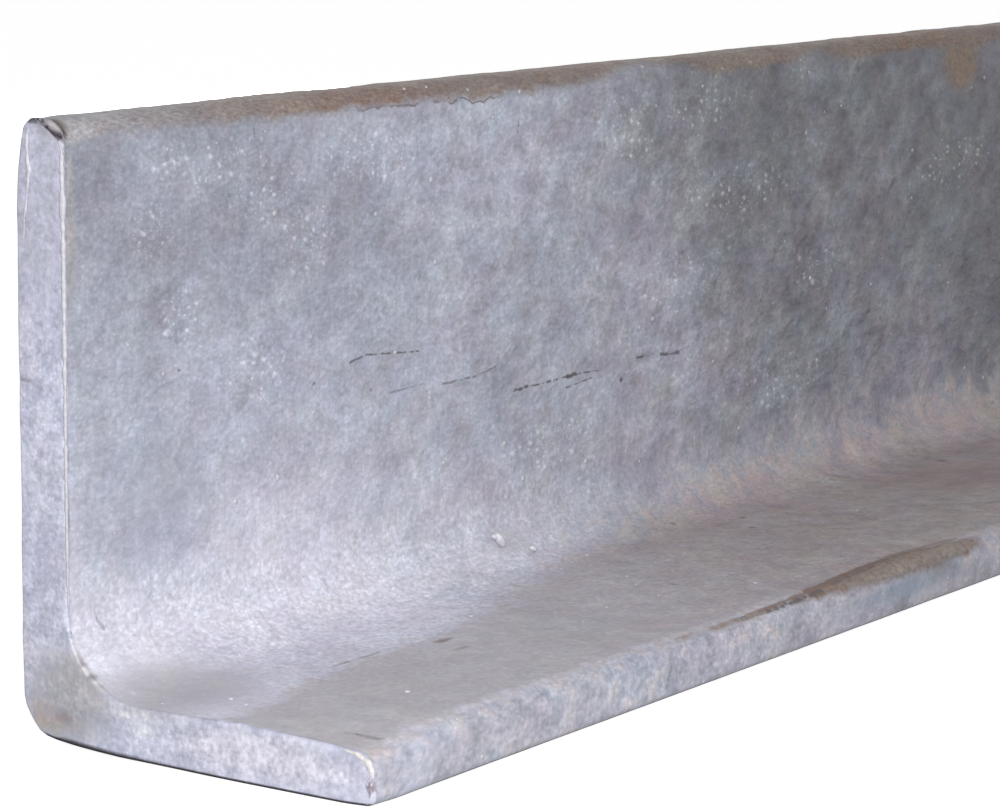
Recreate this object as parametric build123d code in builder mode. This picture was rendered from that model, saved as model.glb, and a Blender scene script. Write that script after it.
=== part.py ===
from build123d import *

import os

# An unequal steel angle: one length of hot-rolled stock with an L-shaped section, in millimetres.
# The bar runs along X. Its wide leg stands up at the back and its narrow leg, the foot, lies flat
# on the ground towards -Y. The origin is the middle of the bar's length and of the foot's width,
# on the ground.

# The section as it is ordered: two legs and the thickness that they share.
leg_height = 5 * IN
foot_width = 3.5 * IN
thickness = 0.5 * IN

# The rolled corners of the section.
root_radius = 15  # the hollow of the L, between the two inner faces
heel_radius = 8  # the blunt outer corner that the bar rests on
toe_inner_radius = 5  # the tip of each leg, on the inner side
toe_outer_radius = 2.5  # the tip of each leg, on the outer side

# The length as it is cut, and the arris that the saw cut and its zinc leave round each end.
bar_length = 36 * IN
end_arris_radius = 1

# Where the section's faces lie, across the bar (Y) and up (Z).
back_face = foot_width / 2
foot_tip = back_face - foot_width
leg_inner_face = back_face - thickness
foot_inner_face = thickness

# The six corners of the section before they are rounded, as (across, up).
heel = (back_face, 0)
foot_toe_outer = (foot_tip, 0)
foot_toe_inner = (foot_tip, foot_inner_face)
root = (leg_inner_face, foot_inner_face)
leg_toe_inner = (leg_inner_face, leg_height)
leg_toe_outer = (back_face, leg_height)

rounded_corners = (
    (heel, heel_radius),
    (foot_toe_outer, toe_outer_radius),
    (foot_toe_inner, toe_inner_radius),
    (root, root_radius),
    (leg_toe_inner, toe_inner_radius),
    (leg_toe_outer, toe_outer_radius),
)

with BuildPart() as angle_section:
    with BuildSketch(Plane.YZ) as section:
        with BuildLine():
            Polyline(*(corner for corner, _ in rounded_corners), close=True)
        make_face()
        for corner, radius in rounded_corners:
            fillet(section.vertices().sort_by_distance(corner)[0], radius)
    extrude(amount=bar_length / 2, both=True)
    cut_ends = angle_section.faces().filter_by(Axis.X)
    fillet(cut_ends.edges(), end_arris_radius)

angle_section.part.label = "angle_section"

os.makedirs("parts", exist_ok=True)
export_step(angle_section.part, "parts/angle_section.step")
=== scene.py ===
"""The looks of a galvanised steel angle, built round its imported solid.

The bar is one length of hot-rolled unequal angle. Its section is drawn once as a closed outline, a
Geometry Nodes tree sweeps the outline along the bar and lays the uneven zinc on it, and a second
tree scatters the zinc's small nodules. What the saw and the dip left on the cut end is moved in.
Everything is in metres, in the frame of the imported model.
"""

import logging
import math
from dataclasses import dataclass, field
from enum import Enum
from functools import reduce
from typing import Sequence

import bpy
import numpy as np
from mathutils import Matrix, Vector


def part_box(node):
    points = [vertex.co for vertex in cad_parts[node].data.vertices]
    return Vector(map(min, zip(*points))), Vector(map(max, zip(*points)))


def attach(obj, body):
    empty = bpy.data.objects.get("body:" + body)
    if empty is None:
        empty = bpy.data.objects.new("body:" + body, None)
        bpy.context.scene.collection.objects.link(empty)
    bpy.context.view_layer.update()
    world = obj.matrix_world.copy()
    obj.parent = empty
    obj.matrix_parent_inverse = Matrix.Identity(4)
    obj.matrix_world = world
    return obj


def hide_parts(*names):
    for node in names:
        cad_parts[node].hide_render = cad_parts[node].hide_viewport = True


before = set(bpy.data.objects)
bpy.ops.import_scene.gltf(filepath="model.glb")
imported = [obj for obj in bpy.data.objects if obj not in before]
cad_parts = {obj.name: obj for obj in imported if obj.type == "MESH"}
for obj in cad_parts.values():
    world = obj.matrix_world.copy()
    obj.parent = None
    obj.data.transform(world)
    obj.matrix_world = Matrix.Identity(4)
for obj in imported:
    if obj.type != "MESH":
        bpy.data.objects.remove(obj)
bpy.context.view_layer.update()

log = logging.getLogger("angle_section")

MM = 0.001
NODE = "angle_section"
BODY = "root"
WELD_GAP = 0.02 * MM
WHITE = (1.0, 1.0, 1.0)

Triple = tuple[float, float, float]
Colour = Triple
Row = tuple[float, ...]
Socket = bpy.types.NodeSocket
Operand = float | Socket
Inputs = dict[str | int, object]


def mm(*sizes: float) -> Row:
    """Turn sizes in millimetres into metres."""
    return tuple(size * MM for size in sizes)


@dataclass(frozen=True)
class Datum:
    """Where the near cut lies along the bar, and where the back face lies across it."""

    near: float
    back: float

    def point(self, along: float, deep: float, up: float) -> Triple:
        """Turn a place measured from the cut, the back face and the ground into coordinates."""
        return (self.near + along, self.back - deep, up)


class Mask(Enum):
    """The point attributes that carry a finish from the mesh to the shader."""

    CUT = "cut_face"
    # On the bar, the fresh mask also carries painted falloff of the light along it.
    FRESH = "fresh"
    GRAIN = "grain"
    WORN = "past_worn_line"
    TIP = "past_tip_line"
    RUST = "rust"
    # Painted shade: near black in the creases beside the lip and along the bottom edges of the cut and
    # the toe.
    CREASE_SHADE = "painted_crease_shade"
    NODULES = "nodule_share"
    # Carries the painted highlights by the root of the cut as well as the stains.
    STAIN_AND_HIGHLIGHT = "stain"
    RIM = "rim_line"
    TONE = "tone_swing"
    HUE = "hue_swing"
    MARKED = "marked"
    BROAD = "broad_noise"
    TINT = "tint_noise"
    FLOW = "down_flow"
    # Bright crystals, partly painted glints.
    SPECKS_AND_GLINTS = "speck_and_glint_share"


# --------------------------------------------------------------------------- node helpers


class NodeWeb:
    """A node tree under construction, with short methods for the nodes that it uses most."""

    def __init__(self, tree: bpy.types.NodeTree) -> None:
        """Keep the tree that is being built.

        Args:
            tree: a shader or geometry node tree.
        """
        self.tree = tree

    def node(self, kind: str, inputs: Inputs | None = None, **settings: object) -> bpy.types.Node:
        """Add one node.

        Args:
            kind: the node's type name.
            inputs: what its inputs are fed, by name or number.
            **settings: properties to set on it.

        Returns:
            The new node.
        """
        made = self.tree.nodes.new(kind)
        for name, value in settings.items():
            setattr(made, name, value)
        self.feed(made, inputs or {})
        return made

    def feed(self, node: bpy.types.Node, inputs: Inputs) -> None:
        """Link sockets into a node's inputs, or write plain values on them.

        Args:
            node: the node that is fed.
            inputs: a socket or a plain value for each input, by name or number.
        """
        for name, value in inputs.items():
            if isinstance(value, Socket):
                self.tree.links.new(value, node.inputs[name])
            else:
                node.inputs[name].default_value = value

    def math(self, operation: str, *operands: Operand, clamp: bool = False) -> Socket:
        """Add a Math node.

        Args:
            operation: the Math node's operation.
            *operands: sockets or numbers, in order.
            clamp: whether the result is held between 0 and 1.

        Returns:
            The result.
        """
        inputs = dict(enumerate(operands))
        return self.node("ShaderNodeMath", inputs, operation=operation, use_clamp=clamp).outputs[0]

    def add(self, *values: Operand) -> Socket:
        """Add values up."""
        return reduce(lambda total, value: self.math("ADD", total, value), values)

    def sub(self, a: Operand, b: Operand) -> Socket:
        """Return a - b."""
        return self.math("SUBTRACT", a, b)

    def mul(self, *values: Operand) -> Socket:
        """Multiply values."""
        return reduce(lambda product, value: self.math("MULTIPLY", product, value), values)

    def div(self, a: Operand, b: Operand, clamp: bool = False) -> Socket:
        """Return a / b, held between 0 and 1 if it is to be clamped."""
        return self.math("DIVIDE", a, b, clamp=clamp)

    def vector(self, operation: str, *operands: object, scale: Operand | None = None) -> Socket:
        """Add a Vector Math node.

        Args:
            operation: the Vector Math node's operation.
            *operands: sockets or vectors, in order.
            scale: the factor of a SCALE operation.

        Returns:
            The vector result, or the value of DOT_PRODUCT and LENGTH.
        """
        made = self.node("ShaderNodeVectorMath", dict(enumerate(operands)), operation=operation)
        if scale is not None:
            self.feed(made, {"Scale": scale})
        return made.outputs["Value" if operation in ("DOT_PRODUCT", "LENGTH") else "Vector"]

    def split(self, vector: Socket) -> list[Socket]:
        """Split a vector into X, Y and Z."""
        return list(self.node("ShaderNodeSeparateXYZ", {0: vector}).outputs)

    def join(self, **parts: Operand) -> Socket:
        """Make a vector from X, Y and Z, with 0 for those that aren't given."""
        return self.node("ShaderNodeCombineXYZ", parts).outputs[0]

    def choose(self, share: Operand, first: Socket, second: Socket) -> Socket:
        """Go from one vector to another by a share from 0 to 1."""
        return self.node("ShaderNodeMix", {0: share, 4: first, 5: second}, data_type="VECTOR").outputs[1]

    def ramp(self, value: Operand, low: Operand, high: Operand, to_low: Operand = 0.0,
             to_high: Operand = 1.0) -> Socket:
        """Map a range smoothly onto another, holding both ends.

        Args:
            value: what is mapped.
            low: where the change starts.
            high: where it ends.
            to_low: the result at the start.
            to_high: the result at the end.

        Returns:
            The mapped value.
        """
        inputs = {"Value": value, "From Min": low, "From Max": high, "To Min": to_low,
                  "To Max": to_high}
        made = self.node("ShaderNodeMapRange", inputs, interpolation_type="SMOOTHSTEP")
        return made.outputs["Result"]

    def noise(self, place: Socket, size: float, detail: float = 2.0, roughness: float = 0.5,
              seed: float = 0.0, ways: str = "3D") -> Socket:
        """Add a noise whose cells are about one size.

        Args:
            place: the coordinates.
            size: the size of a cell, in metres.
            detail: how many finer layers there are.
            roughness: how strong the finer layers are.
            seed: which noise of the family it is.
            ways: how many of the coordinates count.

        Returns:
            The noise value, from 0 to 1 about 0.5.
        """
        moved = self.vector("ADD", place, (0.37 * seed, 0.53 * seed, 0.71 * seed))
        inputs = {"Vector": moved, "Scale": 1.0 / size, "Detail": detail, "Roughness": roughness}
        return self.node("ShaderNodeTexNoise", inputs, noise_dimensions=ways).outputs[0]


class GeometryTree(NodeWeb):
    """A Geometry Nodes tree with named inputs, run once on an object and then removed."""

    def __init__(self, name: str) -> None:
        """Start a tree that takes and gives geometry.

        Args:
            name: the tree's name.
        """
        super().__init__(bpy.data.node_groups.new(name, "GeometryNodeTree"))
        self.tree.is_modifier = True
        self._socket("Geometry", "INPUT", "Geometry")
        self._socket("Geometry", "OUTPUT", "Geometry")
        self.entry = self.node("NodeGroupInput")
        self.values: dict[str, object] = {}
        self.position = self.node("GeometryNodeInputPosition").outputs[0]
        self.normal = self.node("GeometryNodeInputNormal").outputs[0]

    def _socket(self, name: str, way: str, kind: str) -> None:
        """Declare one socket of the tree's interface."""
        self.tree.interface.new_socket(name, in_out=way, socket_type="NodeSocket" + kind)

    def inputs(self, values: dict[str, object]) -> list[Socket]:
        """Declare named inputs and the values that the modifier gives them.

        Args:
            values: a number or a material for each name.

        Returns:
            The sockets that carry them inside the tree.
        """
        kinds = {int: "Int", float: "Float", bpy.types.Material: "Material"}
        for name, value in values.items():
            self._socket(name, "INPUT", kinds[type(value)])
        self.values.update(values)
        return [self.entry.outputs[name] for name in values]

    def noise(self, place: Socket, size: Operand, detail: float = 2.0, roughness: float = 0.5,
              seed: Operand = 0.0) -> Socket:
        """Add a noise centred on zero.

        Args:
            place: the coordinates.
            size: the size of a cell, a socket or metres.
            detail: how many finer layers there are.
            roughness: how strong the finer layers are.
            seed: which noise of the family it is.

        Returns:
            The noise value, from about -0.5 to 0.5.
        """
        inputs = {"Vector": place, "W": seed, "Scale": self.div(1.0, size), "Detail": detail,
                  "Roughness": roughness}
        made = self.node("ShaderNodeTexNoise", inputs, noise_dimensions="4D")
        return self.sub(made.outputs[0], 0.5)

    def attribute(self, name: str, kind: str = "FLOAT") -> Socket:
        """Read a named attribute of one kind."""
        made = self.node("GeometryNodeInputNamedAttribute", {"Name": name}, data_type=kind)
        return made.outputs["Attribute"]

    def store(self, geometry: Socket, mask: Mask, value: Operand) -> Socket:
        """Write a finish mask on a geometry's points.

        Args:
            geometry: what it is written on.
            mask: which mask it is.
            value: its value.

        Returns:
            The geometry that carries it.
        """
        inputs = {"Geometry": geometry, "Name": mask.value, "Value": value}
        made = self.node("GeometryNodeStoreNamedAttribute", inputs, data_type="FLOAT", domain="POINT")
        return made.outputs["Geometry"]

    def ball(self, segments: int, rings: int) -> Socket:
        """Make a ball of radius 1."""
        inputs = {"Segments": segments, "Rings": rings, "Radius": 1.0}
        return self.node("GeometryNodeMeshUVSphere", inputs).outputs["Mesh"]

    def move(self, geometry: Socket, offset: Socket) -> Socket:
        """Move a geometry's points by an offset."""
        inputs = {"Geometry": geometry, "Offset": offset}
        return self.node("GeometryNodeSetPosition", inputs).outputs["Geometry"]

    def finish(self, geometry: Socket, material: Socket) -> None:
        """End the tree: realise the instances, shade smooth and set the material.

        Args:
            geometry: what the tree has made.
            material: the input that carries its material.
        """
        for kind in ("GeometryNodeRealizeInstances", "GeometryNodeSetShadeSmooth"):
            geometry = self.node(kind, {"Geometry": geometry}).outputs["Geometry"]
        painted = self.node("GeometryNodeSetMaterial", {"Geometry": geometry, "Material": material})
        self.node("NodeGroupOutput", {"Geometry": painted.outputs["Geometry"]})

    def bake(self, seed_mesh: bpy.types.Mesh, name: str) -> bpy.types.Object:
        """Run the tree on a mesh and keep the result as a plain object.

        Args:
            seed_mesh: the geometry that goes in.
            name: the new object's name.

        Returns:
            A plain mesh object with no modifier.
        """
        holder = bpy.data.objects.new(name + "_seed", seed_mesh)
        bpy.context.scene.collection.objects.link(holder)
        modifier = holder.modifiers.new("tree", "NODES")
        modifier.node_group = self.tree
        identifiers = {item.name: item.identifier for item in self.tree.interface.items_tree
                       if item.in_out == "INPUT"}
        for label, value in self.values.items():
            modifier[identifiers[label]] = value
        depsgraph = bpy.context.evaluated_depsgraph_get()
        mesh = bpy.data.meshes.new_from_object(holder.evaluated_get(depsgraph))
        holder.modifiers.remove(modifier)
        bpy.data.objects.remove(holder)
        mesh.name = name
        return shown(name, mesh)


def shown(name: str, data: bpy.types.ID) -> bpy.types.Object:
    """Put a mesh, a lamp or a camera in the scene.

    Args:
        name: the object's name.
        data: what it shows.

    Returns:
        The new object.
    """
    made = bpy.data.objects.new(name, data)
    bpy.context.scene.collection.objects.link(made)
    return made


# --------------------------------------------------------------------------- the rolled section


@dataclass(frozen=True)
class Stretch:
    """A straight or round stretch of the section's outline, as a path from 0 to its length."""

    start: tuple[float, float]
    end: tuple[float, float]
    centre: tuple[float, float] | None = None

    @property
    def length(self) -> float:
        """The stretch's length."""
        if self.centre is None:
            return math.dist(self.start, self.end)
        return math.dist(self.start, self.centre) * abs(self._turn())

    def _turn(self) -> float:
        """The signed angle of a round stretch, the short way round."""
        a, b = (math.atan2(p[1] - self.centre[1], p[0] - self.centre[0])
                for p in (self.start, self.end))
        return (b - a + math.pi) % (2 * math.pi) - math.pi

    def at(self, way: float) -> tuple[float, float]:
        """Return the point that lies a distance along the stretch.

        Args:
            way: how far along it.

        Returns:
            The point, as across and up.
        """
        share = way / self.length if self.length else 0.0
        if self.centre is None:
            return tuple(a + (b - a) * share for a, b in zip(self.start, self.end))
        radius = math.dist(self.start, self.centre)
        angle = math.atan2(self.start[1] - self.centre[1], self.start[0] - self.centre[0])
        angle += self._turn() * share
        return (self.centre[0] + radius * math.cos(angle), self.centre[1] + radius * math.sin(angle))


def walk(stretches: Sequence[Stretch], cells: int) -> list[tuple[float, float]]:
    """Space points evenly along joined stretches.

    Args:
        stretches: the path, end to end.
        cells: how many steps it is cut into.

    Returns:
        The points, without the last one.
    """
    total = sum(s.length for s in stretches)
    points = []
    for step in range(cells):
        way = total * step / cells
        for stretch in stretches:
            if way <= stretch.length:
                break
            way -= stretch.length
        points.append(stretch.at(way))
    return points


@dataclass
class Section:
    """The rolled section, seen from the near end: across is +Y to the back, up is +Z."""

    back: float
    height: float
    width: float
    thickness: float = 12.7 * MM
    root_radius: float = 15 * MM
    heel_radius: float = 8 * MM
    toe_inner_radius: float = 5 * MM
    toe_outer_radius: float = 2.5 * MM
    face_cell: float = 1.6 * MM
    bend_cells: int = 22
    toe_cells: int = 11

    @property
    def leg_inner(self) -> float:
        """Where the standing leg's inner face lies across the bar."""
        return self.back - self.thickness

    @property
    def tip(self) -> float:
        """Where the foot's tip lies across the bar."""
        return self.back - self.width

    def _corner_runs(self) -> list[tuple[list[Stretch], list[Stretch], int]]:
        """The inner and outer side of each length of the section, from the leg's toe to the foot's.

        Returns:
            The inner side, the outer side and the number of cells of each length.
        """
        t, r, h = self.thickness, self.root_radius, self.heel_radius
        ti, to = self.toe_inner_radius, self.toe_outer_radius
        back, inner, tip, top = self.back, self.leg_inner, self.tip, self.height
        middle_leg, middle_foot = back - t / 2, t / 2
        root = (inner - r, t + r)
        face_leg, face_foot = top - ti, tip + ti
        runs = [
            ([Stretch((middle_leg, top), (inner + ti, top)),
              Stretch((inner + ti, top), (inner, face_leg), (inner + ti, top - ti))],
             [Stretch((middle_leg, top), (back - to, top)),
              Stretch((back - to, top), (back, top - to), (back - to, top - to)),
              Stretch((back, top - to), (back, face_leg))],
             self.toe_cells),
            ([Stretch((inner, face_leg), (inner, root[1]))],
             [Stretch((back, face_leg), (back, root[1]))],
             round((face_leg - root[1]) / self.face_cell)),
            ([Stretch((inner, root[1]), (root[0], t), root)],
             [Stretch((back, root[1]), (back, h)),
              Stretch((back, h), (back - h, 0), (back - h, h)),
              Stretch((back - h, 0), (root[0], 0))],
             self.bend_cells),
            ([Stretch((root[0], t), (face_foot, t))],
             [Stretch((root[0], 0), (face_foot, 0))],
             round((root[0] - face_foot) / self.face_cell)),
            ([Stretch((face_foot, t), (tip, t - ti), (tip + ti, t - ti)),
              Stretch((tip, t - ti), (tip, middle_foot))],
             [Stretch((face_foot, 0), (tip + to, 0)),
              Stretch((tip + to, 0), (tip, to), (tip + to, to)),
              Stretch((tip, to), (tip, middle_foot))],
             self.toe_cells),
        ]
        return runs

    def outline(self) -> np.ndarray:
        """Draw the closed outline.

        The inner and the outer side have as many points, so point i and point N - i face each
        other across the steel. Point 0 is the middle of the leg's toe.

        Returns:
            One row (across, up) for each point, going down the inner side and back up the outer.
        """
        runs = self._corner_runs()
        inner = [p for side, _, cells in runs for p in walk(side, cells)]
        outer = [p for _, side, cells in runs for p in walk(side, cells)]
        foot_toe = (self.tip, self.thickness / 2)
        return np.array(inner + [foot_toe] + outer[:0:-1])

    def outward(self, points: np.ndarray) -> np.ndarray:
        """Work out the outline's outward normals from its neighbours.

        Args:
            points: the outline.

        Returns:
            A unit vector (across, up) for each point.
        """
        along = np.roll(points, -1, axis=0) - np.roll(points, 1, axis=0)
        normal = np.stack([along[:, 1], -along[:, 0]], axis=1)
        area = np.sum(points[:, 0] * np.roll(points[:, 1], -1) - np.roll(points[:, 0], -1) * points[:, 1])
        if area < 0:
            normal = -normal
        return normal / np.linalg.norm(normal, axis=1, keepdims=True)

    def outline_mesh(self, name: str) -> bpy.types.Mesh:
        """Make the outline as a loop of edges that carries its normals.

        Args:
            name: the mesh's name.

        Returns:
            A mesh of points and edges across the bar.
        """
        points = self.outline()
        count = len(points)
        normals = self.outward(points)
        mesh = bpy.data.meshes.new(name)
        mesh.from_pydata([(0.0, y, z) for y, z in points],
                         [(i, (i + 1) % count) for i in range(count)], [])
        outward = mesh.attributes.new("outward", "FLOAT_VECTOR", "POINT")
        outward.data.foreach_set("vector", np.insert(normals, 0, 0.0, axis=1).astype(np.float32).ravel())
        return mesh


# --------------------------------------------------------------------------- the bar


@dataclass
class BarSweep:
    """How the outline is swept into a bar and how the zinc lies on it."""

    length: float
    near_step: float = 0.45 * MM
    growth: float = 50.0
    rings: int = 345
    cap_rings: int = 10
    arris_rings: int = 4
    arris: float = 1.0 * MM
    skin: float = 0.2 * MM
    ripple_height: float = 0.6 * MM
    ripple_size: float = 38 * MM
    peel_height: float = 0.45 * MM
    peel_size: float = 9 * MM
    tip_height: float = 0.9 * MM
    tip_size: float = 24 * MM
    broad_size: float = 60 * MM
    tint_size: float = 24 * MM
    seed: int = 7

    def tree(self, section: Section, material: bpy.types.Material) -> GeometryTree:
        """Build the tree that sweeps and dips the bar.

        Args:
            section: the section that is swept.
            material: the zinc's material.

        Returns:
            The tree, with its named inputs filled in.
        """
        web = GeometryTree("rolled_and_dipped_bar")
        seed, paint = web.inputs({"Seed": self.seed, "Material": material})
        solid = self._sweep(web)
        broad = web.noise(web.position, self.broad_size, 3.0, 0.5, web.add(seed, 3.0))
        drawn = web.vector("MULTIPLY", web.position, (0.6, 1.0, 1.0))
        tint = web.noise(drawn, self.tint_size, 3.0, 0.65, web.add(seed, 4.0))
        for mask, noise in ((Mask.BROAD, broad), (Mask.TINT, tint)):
            solid = web.store(solid, mask, web.add(noise, 0.5))
        rise = self._relief(web, section, seed)
        web.finish(web.move(solid, web.vector("SCALE", web.normal, scale=rise)), paint)
        return web

    def _sweep(self, web: GeometryTree) -> Socket:
        """Wrap a grid round the outline and along the bar, and close it over both ends.

        Args:
            web: the bar's tree.

        Returns:
            The closed solid.
        """
        length, near_step, growth, rings, cap, arc, arris = web.inputs({
            "Bar Length": self.length, "Near Step": self.near_step, "Step Growth": self.growth,
            "Rings": self.rings, "Cap Rings": self.cap_rings, "Arris Rings": self.arris_rings,
            "Arris Radius": self.arris})
        outline = web.entry.outputs["Geometry"]
        size = web.node("GeometryNodeAttributeDomainSize", {"Geometry": outline}, component="MESH")
        points = size.outputs["Point Count"]
        row = web.add(points, 1.0)
        grid = web.node("GeometryNodeMeshGrid", {"Vertices X": rings, "Vertices Y": row})
        index = web.node("GeometryNodeInputIndex").outputs[0]
        ring = web.math("FLOOR", web.div(web.add(index, 0.5), row))
        around = web.math("MODULO", web.sub(index, web.mul(ring, row)), points)
        facing = web.math("MODULO", web.sub(points, around), points)

        def sampled(what: Socket, where: Socket) -> Socket:
            """Read an outline attribute at a point's index."""
            inputs = {"Geometry": outline, "Value": what, "Index": where}
            return web.node("GeometryNodeSampleIndex", inputs, data_type="FLOAT_VECTOR",
                            domain="POINT").outputs["Value"]

        def end_terms(count: Socket) -> tuple[Socket, Socket, Socket]:
            """Give, for rings counted from one end, the closing share, the inset and the setback.

            Args:
                count: the rings from that end.

            Returns:
                The three terms.
            """
            closing = web.div(web.sub(cap, count), cap, clamp=True)
            turn = web.mul(web.div(web.sub(count, cap), arc, clamp=True), math.pi / 2)
            inset = web.mul(arris, web.sub(1.0, web.math("SINE", turn)))
            setback = web.mul(arris, web.sub(1.0, web.math("COSINE", turn)))
            return closing, inset, setback

        def eased(steps: Socket) -> Socket:
            """Count steps, each a little less than the one before."""
            decay = web.math("EXPONENT", web.div(web.mul(steps, -1.0), growth))
            return web.mul(growth, web.sub(1.0, decay))

        here, there = sampled(web.position, around), sampled(web.position, facing)
        outward = sampled(web.attribute("outward", "FLOAT_VECTOR"), around)
        spine = web.vector("SCALE", web.vector("ADD", here, there), scale=0.5)
        last = web.sub(rings, 1.0)
        near_close, near_inset, near_setback = end_terms(ring)
        far_close, far_inset, far_setback = end_terms(web.sub(last, ring))
        edge_rings = web.add(cap, arc)
        side_last = web.sub(last, web.mul(edge_rings, 2.0))
        side = web.math("MINIMUM", web.math("MAXIMUM", web.sub(ring, edge_rings), 0.0), side_last)

        # The steps along the bar grow from the near step towards a far step that fills the length.
        straight = web.sub(length, web.mul(arris, 2.0))
        far_step = web.div(web.sub(straight, web.mul(near_step, eased(side_last))),
                           web.sub(side_last, eased(side_last)))
        way = web.add(web.mul(far_step, web.sub(side, eased(side))), web.mul(near_step, eased(side)))
        along = web.sub(web.add(way, near_setback, web.sub(arris, far_setback)), web.div(length, 2.0))

        inset = web.math("MAXIMUM", near_inset, far_inset)
        rim = web.vector("SUBTRACT", here, web.vector("SCALE", outward, scale=inset))
        place = web.vector("ADD", web.choose(web.math("MAXIMUM", near_close, far_close), rim, spine),
                           web.join(X=along))
        turned = web.node("GeometryNodeFlipFaces", {"Mesh": grid.outputs["Mesh"]})
        swept = web.node("GeometryNodeSetPosition",
                         {"Geometry": turned.outputs["Mesh"], "Position": place})
        closed = web.node("GeometryNodeMergeByDistance",
                          {"Geometry": swept.outputs["Geometry"], "Distance": WELD_GAP})
        return closed.outputs["Geometry"]

    def _relief(self, web: GeometryTree, section: Section, seed: Socket) -> Socket:
        """Say how high the zinc stands: a slow ripple and a fine peel, and lumps on the tips.

        Args:
            web: the bar's tree.
            section: the section that is swept.
            seed: the input that carries the seed.

        Returns:
            The height above the rolled steel.
        """
        ripple_height, ripple_size, peel_height, peel_size, tip_height, tip_size, skin = web.inputs({
            "Ripple Height": self.ripple_height, "Ripple Size": self.ripple_size,
            "Peel Height": self.peel_height, "Peel Size": self.peel_size,
            "Tip Height": self.tip_height, "Tip Size": self.tip_size, "Skin Depth": self.skin})
        _, across, up = web.split(web.position)
        tip_of_leg = web.ramp(up, section.height - 9 * MM, section.height - 3 * MM)
        tip_of_foot = web.ramp(across, section.tip + 9 * MM, section.tip + 3 * MM)
        tip = web.math("MAXIMUM", tip_of_leg, tip_of_foot)
        ripple = web.mul(web.noise(web.position, ripple_size, 3.0, 0.5, seed), ripple_height)
        peel = web.mul(web.noise(web.position, peel_size, 2.0, 0.6, web.add(seed, 1.0)), peel_height)
        lumps = web.mul(web.noise(web.position, tip_size, 3.0, 0.6, web.add(seed, 2.0)), tip_height,
                        tip)
        off_ground = web.ramp(up, 0.5 * MM, 4 * MM, 0.15, 1.0)
        return web.mul(web.sub(web.add(ripple, peel, lumps), skin), off_ground)


def smooth(value: np.ndarray, low: float, high: float) -> np.ndarray:
    """Rise smoothly from 0 at low to 1 at high.

    Args:
        value: what is tested.
        low: where the rise starts.
        high: where it ends; it may be the smaller of the two.

    Returns:
        Values from 0 to 1.
    """
    share = np.clip((value - low) / (high - low), 0.0, 1.0)
    return share * share * (3.0 - 2.0 * share)


def hump(value: np.ndarray, middle: float, reach: float) -> np.ndarray:
    """Rise smoothly to 1 at the middle and fall back to 0 a reach away on both sides.

    Args:
        value: what is tested.
        middle: where the hump is.
        reach: how far it goes to each side.

    Returns:
        Values from 0 to 1.
    """
    return smooth(np.abs(value - middle), reach, 0.0)


def ease(value: np.ndarray, low: float, high: float) -> np.ndarray:
    """Rise smoothly from 0 at low to 1 at high, which are in millimetres."""
    return smooth(value, low * MM, high * MM)


def bell(value: np.ndarray, middle: float, reach: float) -> np.ndarray:
    """Rise smoothly to 1 at the middle within a reach, which are in millimetres."""
    return hump(value, middle * MM, reach * MM)


@dataclass
class Places:
    """The bar's points, measured from the near cut end, from the back face and from the ground."""

    along: np.ndarray
    deep: np.ndarray
    up: np.ndarray

    @classmethod
    def of(cls, mesh: bpy.types.Mesh, datum: Datum) -> "Places":
        """Measure a mesh's points.

        Args:
            mesh: the mesh.
            datum: what they are measured from.

        Returns:
            The measured points.
        """
        rows = points_of(mesh)
        return cls(rows[:, 0] - datum.near, datum.back - rows[:, 1], rows[:, 2].copy())

    def put(self, mesh: bpy.types.Mesh, datum: Datum) -> None:
        """Write the points back to the mesh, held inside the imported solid's box.

        Args:
            mesh: the mesh.
            datum: what they are measured from.
        """
        low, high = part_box(NODE)
        rows = np.stack([self.along + datum.near, datum.back - self.deep, self.up], axis=1)
        rows = np.clip(rows, np.array(low), np.array(high))
        mesh.vertices.foreach_set("co", rows.astype(np.float32).ravel())
        mesh.update()


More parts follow.
